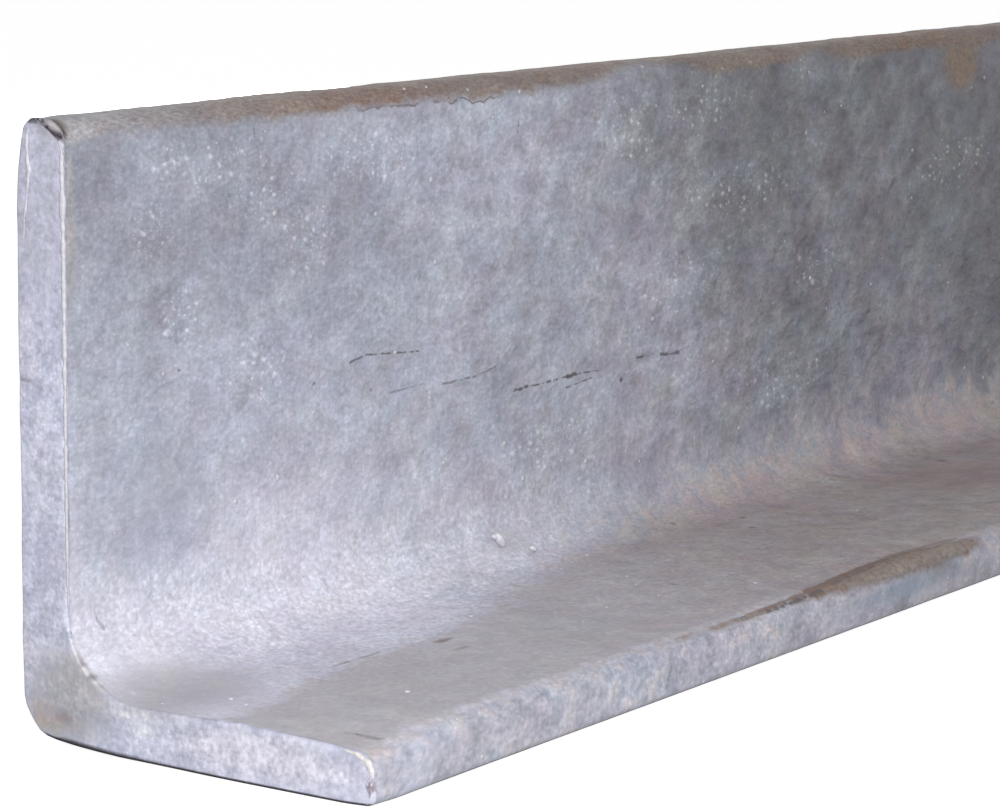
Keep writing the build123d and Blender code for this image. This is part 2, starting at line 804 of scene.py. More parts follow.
@dataclass(frozen=True)
class CutEnd:
    """What the saw and the dip left on the near end of the bar."""

    # How much of the foot's thickness is left at the cut, by the distance from the back face.
    foot_depths: Row = mm(20, 30, 44, 57, 71, 83, 89)
    foot_shares: Row = (1.0, 0.90, 0.92, 0.955, 0.91, 0.865, 0.84)
    foot_reach: float = 30 * MM
    # How far the underside stands off the ground at the cut, by the distance from the back face.
    heel_depths: Row = mm(0, 7, 9.4, 14.7, 20, 26)
    heel_lifts: Row = mm(1.9, 1.8, 1.4, 0.9, 0.6, 0.35)
    heel_blunting: float = 0.8 * MM
    heel_reach: float = 22 * MM
    toe_lift: float = 0.3 * MM
    toe_reach: float = 10 * MM
    leg_taper: float = 2.2 * MM
    taper_foot: float = 108 * MM
    taper_reach: float = 12 * MM
    lip_fall: float = 0.9 * MM
    lip_width: float = 2.7 * MM
    lip_height: float = 0.45 * MM
    crease_depth: float = 0.75 * MM
    burr_height: float = 1.1 * MM
    bite_height: float = 4.6 * MM
    bite_depth: float = 1.0 * MM
    cut_recess: float = 0.12 * MM

    def shape(self, at: Places, section: Section) -> None:
        """Move the points near the cut.

        Args:
            at: the bar's points.
            section: the rolled section.
        """
        self._fold_lip(at, section)
        self._thin_foot(at)
        self._lift_underside(at)
        self._taper_leg(at, section)
        at.along += self.cut_recess * ease(at.along, 1.2, 0.6)

    def _thin_foot(self, at: Places) -> None:
        """Let the foot's upper face droop towards the cut.

        Args:
            at: the bar's points.
        """
        left = np.interp(at.deep, self.foot_depths, self.foot_shares)
        fade = smooth(at.along, self.foot_reach, 0.0)
        low = ease(at.up, 26, 14)
        at.up *= 1.0 - (1.0 - left) * fade * low * ease(at.deep, 14, 24)

    def _lift_underside(self, at: Places) -> None:
        """Raise the heel and the toe's lower corner off the ground at the cut.

        Args:
            at: the bar's points.
        """
        lift = np.interp(at.deep, self.heel_depths, self.heel_lifts)
        lift *= ease(at.deep, 60, 26)
        at.up += lift * smooth(at.along, self.heel_reach, 0.0) * ease(at.up, 14, 2)
        heel = ease(at.up, 11, 5) * ease(at.deep, 7, 1.5)
        at.deep += self.heel_blunting * heel * smooth(at.along, self.heel_reach, 0.0)
        corner = ease(at.deep, 80, 88) * ease(at.up, 4, 0)
        at.up += self.toe_lift * smooth(at.along, self.toe_reach, 0.0) * corner
        bite = hump(at.up, self.bite_height, 1.9 * MM) * ease(at.along, 2.6, 0.5)
        at.deep -= self.bite_depth * bite * ease(at.deep, 85.5, 88)

    def _taper_leg(self, at: Places, section: Section) -> None:
        """Lean the leg's outer face in towards its toe at the cut.

        Args:
            at: the bar's points.
            section: the rolled section.
        """
        fade = smooth(at.along, self.taper_reach, 0.0)
        high = np.clip((at.up - self.taper_foot) / (section.height - self.taper_foot), 0.0, 1.0)
        outer = ease(at.deep, 9, 0)
        at.deep += self.leg_taper * fade * high * high * outer
        inner = ease(at.deep, 7, 12.7) * ease(at.up, 116, 126)
        at.up -= self.lip_fall * fade * inner

    def _round_toe(self, at: Places, section: Section) -> tuple[np.ndarray, np.ndarray]:
        """Measure the points on the leg's toe.

        Args:
            at: the bar's points.
            section: the rolled section.

        Returns:
            The share of each point in the toe's inner round, and its depth below the surface.
        """
        radius = section.toe_inner_radius
        over = at.deep - (section.thickness - radius)
        above = at.up - (section.height - radius)
        from_centre = np.hypot(np.maximum(over, 0.0), np.maximum(above, 0.0))
        under = np.where(over > 0.0, radius - from_centre, section.height - at.up)
        share = ease(at.deep, 2.5, 5) * ease(at.up, 120.5, 122.5)
        return share, under

    def crease(self, at: Places, section: Section) -> np.ndarray:
        """Say how far each point lies in one of the two creases beside the folded lip; the creases are
        pushed in and painted near black as shade.

        Args:
            at: the bar's points.
            section: the rolled section.

        Returns:
            Values from 0 to 1.
        """
        share, under = self._round_toe(at, section)
        wander = 0.2 * MM * np.sin(at.deep / (0.9 * MM)) + 0.15 * MM * np.sin(at.up / (0.6 * MM))
        lap = np.interp(at.up, mm(123.2, 124.2, 124.9), (0.9 * MM, 2.1 * MM, self.lip_width))
        outer = hump(at.along + wander, lap, 0.7 * MM) * ease(at.up, 123.2, 124.2)
        depth = np.interp(at.deep, mm(5.4, 6.7, 8.3, 10.2, 12),
                          mm(0.2, 0.7, 1.4, 1.05, 0.3))
        inner = hump(under + wander, depth, 0.6 * MM) * ease(at.along, 1.6, 0.9)
        inner *= ease(at.deep, 4.8, 5.8) * ease(at.up, 123.5, 124.3)
        return share * np.maximum(outer * ease(under, 1.2, 0.6), inner)

    def _fold_lip(self, at: Places, section: Section) -> None:
        """Fold a lip of zinc over the top of the cut, between two creases, with a burr on it.

        Args:
            at: the bar's points.
            section: the rolled section.
        """
        share, under = self._round_toe(at, section)
        crease = self.crease(at, section)
        rim = share * ease(under, 1.2, 0.4) * bell(at.along, 1, 1.6)
        rim *= ease(at.up, 123, 124.5)
        burr = bell(at.deep, 4.4, 3.4) * ease(at.along, 3, 1)
        burr *= ease(at.up, 122, 126)
        at.up += rim * self.lip_height + burr * self.burr_height - crease * self.crease_depth * 0.6
        at.deep += (rim * self.lip_height - crease * self.crease_depth) * 0.5
        at.along += crease * self.crease_depth * 0.7 * ease(at.along, 1.6, 0.9)


@dataclass(frozen=True)
class Stain:
    """A run of brown stain or rust along an edge."""

    middle: float
    half: float
    strength: float


def stains(*rows: Triple) -> tuple[Stain, ...]:
    """Make stains from rows of middle and half in millimetres, and strength."""
    return tuple(Stain(*mm(middle, half), strength) for middle, half, strength in rows)


@dataclass(frozen=True)
class Cluster:
    """A place on the leg's inner face where bright crystals, partly painted glints, gather."""

    along: float
    up: float
    run: float
    rise: float


@dataclass(frozen=True)
class Coat:
    """Where the zinc is fresh, grainy, worn or stained."""

    # How bright the zinc is along the bar; its dimming away from the near cut partly paints the falloff
    # of light from a lamp near that end.
    runs: Row = mm(0, 90, 170, 240, 330, 450, 560, 720, 915)
    fresh_and_falloff_by_run: Row = (1.0, 0.99, 0.63, 0.475, 0.4, 0.29, 0.33, 0.45, 0.55)
    height_counts: Row = (1.0, 0.9, 0.4, 1.01, 1.29, 1.22, 0.8, 0.4, 0.5)
    toe_by_run: Row = (0.55, 0.55, 0.66, 0.52, 0.30, 0.24, 0.3, 0.4, 0.5)
    back_share: float = 0.6
    heights: Row = mm(12, 26, 40, 70, 100)
    fresh_by_height: Row = (0.92, 0.88, 0.75, 0.48, 0.19)
    # Where the foot is worn, and how far down the hollow and across the foot that starts.
    worn_runs: Row = mm(0, 31, 46, 79, 112, 152, 187, 250, 310)
    worn_starts: Row = mm(39, 37, 32, 32, 25, 13, 4, -4, -8)
    flow_marks: Row = mm(-130, -20, 5, 25, 72, 80, 92)
    flow_runs: Row = mm(0, 110, 130, 146, 184, 190, 201)
    tip_line: float = 122.6 * MM
    overlaps: tuple[Stain, ...] = stains(
        (217, 34, 1.0), (300, 16, 0.6), (430, 30, 1.0),
        (560, 22, 0.8), (700, 40, 1.1), (850, 26, 0.7),
    )
    top_rust: tuple[Stain, ...] = stains(
        (105, 34, 0.8), (170, 20, 0.3), (221, 22, 0.6),
        (355, 44, 0.95), (500, 40, 0.8), (640, 30, 0.7),
        (790, 50, 0.9),
    )
    toe_stains: tuple[Stain, ...] = stains(
        (184, 70, 1.0), (300, 26, 0.5), (470, 60, 0.9),
        (640, 36, 0.6), (800, 60, 0.9),
    )
    clusters: tuple[Cluster, ...] = tuple(Cluster(*mm(*row)) for row in (
        (48, 116, 26, 6), (66, 107, 18, 8), (80, 97, 12, 10), (28, 103, 9, 7),
        (104, 112, 22, 7), (36, 84, 10, 8), (60, 70, 16, 8), (205, 114, 16, 7),
        (240, 113, 18, 7), (214, 106, 12, 5), (262, 92, 34, 8), (300, 68, 16, 7),
        (232, 72, 22, 9), (284, 40, 30, 9), (175, 38, 22, 8), (380, 90, 30, 9),
        (520, 60, 60, 14), (700, 84, 70, 16),
    ))
    stain_edge: float = 85.8 * MM
    stain_bulge: Stain = Stain(206 * MM, 44 * MM, 3.4 * MM)
    stain_runs: Row = mm(110, 160, 185, 210, 232, 250)
    stain_feet: Row = mm(11.9, 11.2, 9.8, 8.8, 8, 9.6)

    def fresh(self, at: Places) -> np.ndarray:
        """Say how bright the zinc is: freshest low down by the near cut, duller further along, partly as
        painted falloff of the light along the bar.

        Args:
            at: the bar's points.

        Returns:
            Values from 0, dull, to 1, fresh.
        """
        run = np.interp(at.along, self.runs, self.fresh_and_falloff_by_run)
        counts = np.interp(at.along, self.runs, self.height_counts)
        height = 1.0 - counts * (1.0 - np.interp(at.up, self.heights, self.fresh_by_height))
        calm = 0.3 * bell(at.along, 30, 34) * bell(at.up, 44, 32)
        face = run * (height - calm)
        back = ease(at.deep, 3, 0.5)
        face += (self.back_share * (0.6 + 0.4 * run) - face) * back
        toe = ease(at.deep, 84, 87)
        toe_share = np.interp(at.along, self.runs, self.toe_by_run)
        toe_share *= 0.65 + 0.35 * ease(at.along, 3, 14)
        return np.clip(face + (toe_share - face) * toe, 0.0, 1.0)

    def toe_face(self, at: Places) -> np.ndarray:
        """Say what belongs to the face of the foot's toe."""
        return ease(at.deep, 86.2, 87.6) * ease(at.up, 0.5, 1.5)

    def tone_swing(self, at: Places) -> np.ndarray:
        """Say how strongly the zinc's tone swings: more along the bar, most on the toe's face.

        Args:
            at: the bar's points.

        Returns:
            A factor for each point.
        """
        run = np.interp(at.along, mm(0, 100, 200, 320, 450),
                        (0.66, 0.72, 1.1, 1.5, 1.3))
        run *= np.interp(at.up, mm(26, 50, 95), (0.7, 0.92, 1.15))
        worn = self.worn(at)
        run *= 1.0 - 0.25 * worn
        run += (1.5 - run) * self.toe_face(at)
        crusty = np.interp(at.deep, mm(12, 32), (0.6, 0.75))
        return run + (crusty - run) * ease(at.along, 1.6, 1)

    def hue_swing(self, at: Places) -> np.ndarray:
        """Say how strongly the zinc's hue swings.

        Args:
            at: the bar's points.

        Returns:
            A factor for each point.
        """
        run = np.interp(at.along, mm(0, 100, 300), (0.4, 0.5, 0.95))
        worn = self.worn(at)
        run += worn * np.interp(at.along, mm(60, 300), (0.0, 0.3))
        run *= np.interp(at.up, mm(14, 45), (0.8, 1.0))
        return run + (0.6 - run) * self.toe_face(at)

    def flow(self, at: Places) -> np.ndarray:
        """Say how far down the draining zinc each point lies, closer together where it lay flat."""
        return np.interp(at.deep - at.up, self.flow_marks, self.flow_runs)

    def past_worn_line(self, at: Places) -> np.ndarray:
        """Return how far each point is past the line where the foot is worn, softer further along.

        Args:
            at: the bar's points.

        Returns:
            Values about 0, above it where the foot is worn.
        """
        past = at.deep - at.up - np.interp(at.along, self.worn_runs, self.worn_starts)
        past *= np.interp(at.along, mm(60, 135, 240), (1.0, 0.55, 0.38))
        outside = np.maximum(7 * MM - at.up, 0.0) + np.maximum(7 * MM - at.deep, 0.0)
        return np.minimum(past - 3.0 * outside, 86.6 * MM - at.deep) * 100.0

    def worn(self, at: Places) -> np.ndarray:
        """Say how worn each point of the foot is, from 0 to 1."""
        return smooth(self.past_worn_line(at), -0.1, 0.4)

    def specks(self, at: Places) -> np.ndarray:
        """Say where bright crystals, partly painted glints, gather.

        Args:
            at: the bar's points.

        Returns:
            Values from 0 to 1.
        """
        total = 0.24 + 0.1 * ease(at.up, 62, 30) * ease(at.along, 260, 170)
        middle = bell(at.along, 235, 110) * ease(at.up, 40, 60)
        total += 0.16 * middle * ease(at.deep, 5, 10)
        for cluster in self.clusters:
            gap = np.hypot((at.along - cluster.along) / cluster.run, (at.up - cluster.up) / cluster.rise)
            total = np.maximum(total, smooth(gap, 1.3, 0.3) * ease(at.deep, 5, 10))
        return total

    def past_tip_line(self, at: Places) -> np.ndarray:
        """Return how far each point is past the line where the brown of the two tips starts.

        Args:
            at: the bar's points.

        Returns:
            Values about 0, above it in the brown.
        """
        over_top = np.maximum(7.7 * MM - at.deep, 0.0)
        inner = (at.up - self.tip_line) / (4 * MM) + over_top / (8 * MM)
        for lap in self.overlaps:
            inner -= lap.strength * hump(at.along, lap.middle, lap.half)
        outer = np.where(at.deep < 3 * MM, (at.up - 121.5 * MM) / (2 * MM), 9.0)
        leg = np.minimum(inner, outer)
        bulge = self.stain_bulge.strength * hump(at.along, self.stain_bulge.middle, self.stain_bulge.half)
        run = np.full_like(at.along, -9.0)
        for stain in self.toe_stains:
            inside = (stain.half - np.abs(at.along - stain.middle)) / (9 * MM)
            run = np.maximum(run, np.minimum(inside, stain.strength))
        edge = (at.deep - self.stain_edge + bulge) / (0.8 * MM)
        feet = np.interp(at.along, self.stain_runs, self.stain_feet)
        foot = np.minimum(np.minimum(edge, (at.up - feet) / (3 * MM)), run)
        return np.where(at.up > 40 * MM, leg, foot)

    def rim_line(self, at: Places) -> np.ndarray:
        """Say how dark the rim of the brown is: cracked on the leg's near part, stained on the toe.

        Args:
            at: the bar's points.

        Returns:
            Values from 0 to 1.
        """
        crack = 0.75 * ease(at.along, 92, 102) * ease(at.along, 158, 146)
        edge = 0.9 * ease(at.up, 11, 11.7) * ease(at.along, 124, 140)
        return np.where(at.up > 40 * MM, crack, edge)

    def rust(self, at: Places) -> np.ndarray:
        """Say how rusty each point of the tips is.

        Args:
            at: the bar's points.

        Returns:
            Values from 0 to 1.
        """
        total = np.zeros_like(at.along)
        for stain in self.top_rust:
            total = np.maximum(total, stain.strength * hump(at.along, stain.middle, stain.half))
        total *= ease(at.up, 116, 124)
        toe = 0.55 * hump(at.along, self.stain_bulge.middle, 90 * MM) * ease(at.deep, 80, 86)
        return np.maximum(total, toe)

    def grain(self, at: Places) -> np.ndarray:
        """Say how grainy the zinc is: most in the hollow and low on the leg.

        Args:
            at: the bar's points.

        Returns:
            A factor for each point.
        """
        low = ease(at.up, 75, 30) * ease(at.along, 260, 150)
        calm = bell(at.along, 28, 26) * bell(at.up, 48, 26)
        far = np.interp(at.along, mm(130, 200, 270, 420), (1.0, 0.88, 0.9, 0.6))
        root = ease(at.along, 46, 12) * ease(at.up, 26, 15)
        hollow = ease(at.up, 34, 24) * low
        worn = self.worn(at) * ease(at.along, 200, 100)
        share = (0.88 - 0.1 * low + 0.3 * hollow - 0.3 * calm) * far
        return share * (1.0 - 0.4 * root) * (1.0 - 0.5 * worn)


class AngleBar:
    """The galvanised bar: its mesh, the marks on its cut end, and the masks for its finish."""

    CUT_BAND = mm(1.4, 0.9)
    BARE_BAND = mm(1.5, 3)

    def __init__(self, section: Section, sweep: BarSweep, datum: Datum) -> None:
        """Keep the sizes that the bar is made from.

        Args:
            section: the rolled section.
            sweep: its length and its zinc.
            datum: what places on it are measured from.
        """
        self.section = section
        self.sweep = sweep
        self.datum = datum
        self.cut = CutEnd()
        self.coat = Coat()

    def build(self, material: bpy.types.Material) -> bpy.types.Object:
        """Sweep, dip, mark and mask the bar.

        Args:
            material: the zinc's material.

        Returns:
            The finished piece.
        """
        tree = self.sweep.tree(self.section, material)
        piece = tree.bake(self.section.outline_mesh("section_outline"), "galvanised_bar")
        at = Places.of(piece.data, self.datum)
        self._paint(piece.data, at)
        self.cut.shape(at, self.section)
        at.put(piece.data, self.datum)
        return piece

    def _paint(self, mesh: bpy.types.Mesh, at: Places) -> None:
        """Write the finish masks on the mesh's points.

        Args:
            mesh: the bar's mesh.
            at: its points.
        """
        masks = {
            Mask.CUT: np.maximum(smooth(at.along, *self.CUT_BAND), self._far(at, self.CUT_BAND)),
            Mask.FRESH: self.coat.fresh(at),
            Mask.GRAIN: self.coat.grain(at),
            Mask.WORN: self.coat.past_worn_line(at),
            Mask.TIP: self.coat.past_tip_line(at),
            Mask.RUST: self.coat.rust(at),
            Mask.RIM: self.coat.rim_line(at),
            Mask.TONE: self.coat.tone_swing(at),
            Mask.HUE: self.coat.hue_swing(at),
            Mask.FLOW: self.coat.flow(at),
            Mask.SPECKS_AND_GLINTS: self.coat.specks(at),
            # Painted shade in the lip's creases and along the bottom edges of the cut and the toe.
            Mask.CREASE_SHADE: np.maximum(self.cut.crease(at, self.section), self._painted_undercut_shade(at)),
            Mask.MARKED: marked(at),
        }
        on_foot = 1.0 - 0.8 * smooth(masks[Mask.WORN], -0.1, 0.2)
        on_tip = 1.0 - 0.8 * smooth(masks[Mask.TIP], -0.2, 0.3)
        off_ends = smooth(at.along, *self.BARE_BAND) * self._far(at, self.BARE_BAND)
        share = 0.2 + 0.2 * masks[Mask.FRESH] + 0.7 * masks[Mask.SPECKS_AND_GLINTS]
        masks[Mask.NODULES] = share * (ease(at.up, 1, 3) * off_ends * on_foot * on_tip)
        for mask, values in masks.items():
            write_mask(mesh, mask, values)
        write_stains_and_highlights(mesh, at)

    def _far(self, at: Places, band: Row) -> np.ndarray:
        """Rise across a band that is measured back from the far end."""
        return smooth(at.along, *(self.sweep.length - edge for edge in band))

    def _painted_undercut_shade(self, at: Places) -> np.ndarray:
        """Say where painted shade darkens the lowest edge of the cut and of the toe, where the gap under
        them lies in shadow.

        Args:
            at: the bar's points.

        Returns:
            Values from 0 to 1.
        """
        shade_height = np.interp(at.deep, mm(3, 12, 50, 75), mm(0.7, 1.15, 1, 0.8))
        undercut_shade = ease(at.along, 3, 1) * ease(at.up - shade_height, 0.05, -0.2)
        under_toe_shade = ease(at.deep, 85, 87) * ease(at.up, 1, 0.55)
        return np.maximum(undercut_shade, 0.9 * under_toe_shade)


@dataclass(frozen=True)
class Nodule:
    """One nodule of zinc that is large enough to be placed by itself."""

    along: float
    deep: float
    up: float
    size: Triple
    tilt: float = 0.0


@dataclass
class NoduleField:
    """The small nodules that the dip leaves all over the zinc."""

    density: float = 6500.0
    smallest: float = 0.28 * MM
    largest: float = 0.85 * MM
    flatness: float = 0.4
    lump_height: float = 0.12 * MM
    small_ball: tuple[int, int] = (8, 4)
    large_ball: tuple[int, int] = (20, 12)
    seed: int = 23
    noted: tuple[Nodule, ...] = (
        Nodule(*mm(148.2, 16.6, 19.6), mm(2.3, 1.2, 0.9), 0.9),
        Nodule(*mm(147, 16.1, 20.6), mm(1.5, 0.7, 0.8), 0.2),
        Nodule(*mm(158.6, 18.9, 16.2), mm(1.3, 0.9, 0.7), 0.4),
    )

    def build(self, bar: bpy.types.Object, datum: Datum,
              material: bpy.types.Material) -> bpy.types.Object:
        """Scatter the nodules over the bar.

        Args:
            bar: the finished bar.
            datum: what places on it are measured from.
            material: the nodules' material.

        Returns:
            The finished piece.
        """
        web = GeometryTree("zinc_nodules")
        density, smallest, largest, flatness, lump, seed, paint = web.inputs({
            "Density": self.density, "Smallest": self.smallest, "Largest": self.largest,
            "Flatness": self.flatness, "Lump Height": self.lump_height, "Seed": self.seed,
            "Material": material})
        scatter = web.node("GeometryNodeDistributePointsOnFaces", {
            "Mesh": web.entry.outputs["Geometry"],
            "Density": web.mul(density, web.attribute(Mask.NODULES.value)),
            "Seed": seed}, distribute_method="RANDOM")
        chance = web.node("FunctionNodeRandomValue", {"Seed": seed}, data_type="FLOAT")
        rare = web.math("POWER", chance.outputs[1], 3.0)
        radius = web.add(smallest, web.mul(web.sub(largest, smallest), rare))
        placed = web.node("GeometryNodeInstanceOnPoints", {
            "Points": scatter.outputs["Points"], "Instance": web.ball(*self.small_ball),
            "Rotation": scatter.outputs["Rotation"],
            "Scale": web.join(X=radius, Y=radius, Z=web.mul(radius, flatness))})
        gathered = web.node("GeometryNodeJoinGeometry", {0: placed.outputs[0]})
        for nodule in self.noted:
            moved = web.node("GeometryNodeTransform", {
                "Geometry": web.ball(*self.large_ball),
                "Translation": datum.point(nodule.along, nodule.deep, nodule.up),
                "Rotation": (0.0, nodule.tilt, 0.0), "Scale": nodule.size})
            web.feed(gathered, {0: web.store(moved.outputs["Geometry"], Mask.FRESH, 1.0)})
        real = web.node("GeometryNodeRealizeInstances", {"Geometry": gathered.outputs[0]})
        uneven = web.mul(web.noise(web.position, 1.2 * MM, 1.0, 0.5, seed), lump)
        knobbly = web.move(real.outputs["Geometry"], web.vector("SCALE", web.normal, scale=uneven))
        web.finish(knobbly, paint)
        piece = web.bake(bar.data.copy(), "zinc_nodules")
        Places.of(piece.data, datum).put(piece.data, datum)
        return piece


def bead(*rows: Row) -> tuple[Row, ...]:
    """Make a thin bead's path from rows of along, deep, up and radius in millimetres."""
    return tuple(mm(*row) for row in rows)


@dataclass
class CutBeads:
    """The beads that the dip left on the near cut."""

    step: float = 0.5 * MM
    sides: int = 10
    uneven: float = 1.5
    uneven_size: float = 1.8 * MM
    wander: float = 0.35 * MM
    seed: int = 31
    beads: tuple[tuple[Row, ...], ...] = (
        bead((0.55, 11.7, 122.8, 0.2), (0.5, 12.3, 121, 0.5), (0.5, 12.45, 112, 0.55),
             (0.5, 12.5, 100, 0.5), (0.5, 12.5, 80, 0.45), (0.5, 12.5, 60, 0.42),
             (0.5, 12.55, 42, 0.35), (0.55, 12.6, 33, 0.25), (0.6, 12.8, 27.5, 0.1)),
        bead((0.5, 4, 125, 0.55), (0.5, 3.6, 124.2, 0.3), (0.5, 3.4, 123.2, 0.5),
             (0.5, 3.3, 121.6, 0.55), (0.5, 3.5, 119.8, 0.28), (0.5, 3.5, 118.4, 0.5),
             (0.5, 3.9, 116.4, 0.55), (0.5, 3.6, 115.2, 0.28), (0.5, 3.4, 113.6, 0.5),
             (0.5, 3.3, 112, 0.2), (0.5, 2.9, 109.6, 0.45), (0.5, 2.5, 107, 0.2),
             (0.5, 2.2, 103, 0.3)),
        bead((0.55, 80.5, 10.7, 0.2), (0.5, 84.5, 10.3, 0.55), (0.5, 87.2, 9, 0.75),
             (0.55, 88.1, 7.4, 0.75), (0.6, 88.2, 6.2, 0.4)),
        bead((0.5, 87.9, 5.2, 0.45), (0.5, 87.9, 4.5, 0.3)),
    )

    def build(self, datum: Datum, material: bpy.types.Material) -> bpy.types.Object:
        """Draw the beads along their paths.

        Args:
            datum: what the paths are measured from.
            material: the beads' material.

        Returns:
            The finished piece.
        """
        web = GeometryTree("zinc_beads")
        step, sides, uneven, uneven_size, wander, seed, paint = web.inputs({
            "Step": self.step, "Sides": self.sides, "Unevenness": self.uneven,
            "Unevenness Size": self.uneven_size, "Wander": self.wander, "Seed": float(self.seed),
            "Material": material})
        paths = web.node("GeometryNodeMeshToCurve", {"Mesh": web.entry.outputs["Geometry"]})
        rounded = web.node("GeometryNodeResampleCurve",
                           {"Curve": paths.outputs["Curve"], "Length": step}, mode="LENGTH")
        aside = web.mul(web.noise(web.position, uneven_size, 2.0, 0.6, seed), wander)
        moved = web.move(rounded.outputs["Curve"], web.join(Y=aside))
        lumps = web.noise(web.position, uneven_size, 3.0, 0.7, web.add(seed, 1.0))
        swell = web.math("MAXIMUM", web.add(1.0, web.mul(lumps, web.mul(uneven, 2.0))), 0.1)
        ring = web.node("GeometryNodeCurvePrimitiveCircle", {"Resolution": sides, "Radius": 1.0})
        tube = web.node("GeometryNodeCurveToMesh", {
            "Curve": moved, "Profile Curve": ring.outputs["Curve"],
            "Scale": web.mul(web.attribute("bead_radius"), swell), "Fill Caps": True})
        # The beads low on the cut, on the toe's corner, are paler, partly as a painted highlight on its
        # rounded edge.
        fresh = web.ramp(web.split(web.position)[2], 30 * MM, 15 * MM)
        web.finish(web.store(tube.outputs["Mesh"], Mask.FRESH, fresh), paint)
        piece = web.bake(self._paths(datum), "cut_beads")
        Places.of(piece.data, datum).put(piece.data, datum)
        return piece

    def _paths(self, datum: Datum) -> bpy.types.Mesh:
        """Draw the beads' paths as edges that carry their radii.

        Args:
            datum: what the paths are measured from.

        Returns:
            A mesh of points and edges.
        """
        points: list[Triple] = []
        edges: list[tuple[int, int]] = []
        radii: list[float] = []
        for rows in self.beads:
            edges += [(len(points) + i, len(points) + i + 1) for i in range(len(rows) - 1)]
            points += [datum.point(*row[:3]) for row in rows]
            radii += [row[3] for row in rows]
        mesh = bpy.data.meshes.new("bead_paths")
        mesh.from_pydata(points, edges, [])
        layer = mesh.attributes.new("bead_radius", "FLOAT", "POINT")
        layer.data.foreach_set("value", radii)
        return mesh


def points_of(mesh: bpy.types.Mesh) -> np.ndarray:
    """Read a mesh's points as rows of x, y and z.

    Args:
        mesh: the mesh.

    Returns:
        One row for each point.
    """
    flat = np.empty(len(mesh.vertices) * 3, np.float32)
    mesh.vertices.foreach_get("co", flat)
    return flat.reshape(-1, 3).astype(float)


def write_mask(mesh: bpy.types.Mesh, mask: Mask, values: np.ndarray) -> None:
    """Store one finish mask on a mesh's points.

    Args:
        mesh: the mesh.
        mask: which mask it is.
        values: one value for each point.
    """
    layer = mesh.attributes.get(mask.value) or mesh.attributes.new(mask.value, "FLOAT", "POINT")
    layer.data.foreach_set("value", values.astype(np.float32))


# --------------------------------------------------------------------------- finishes


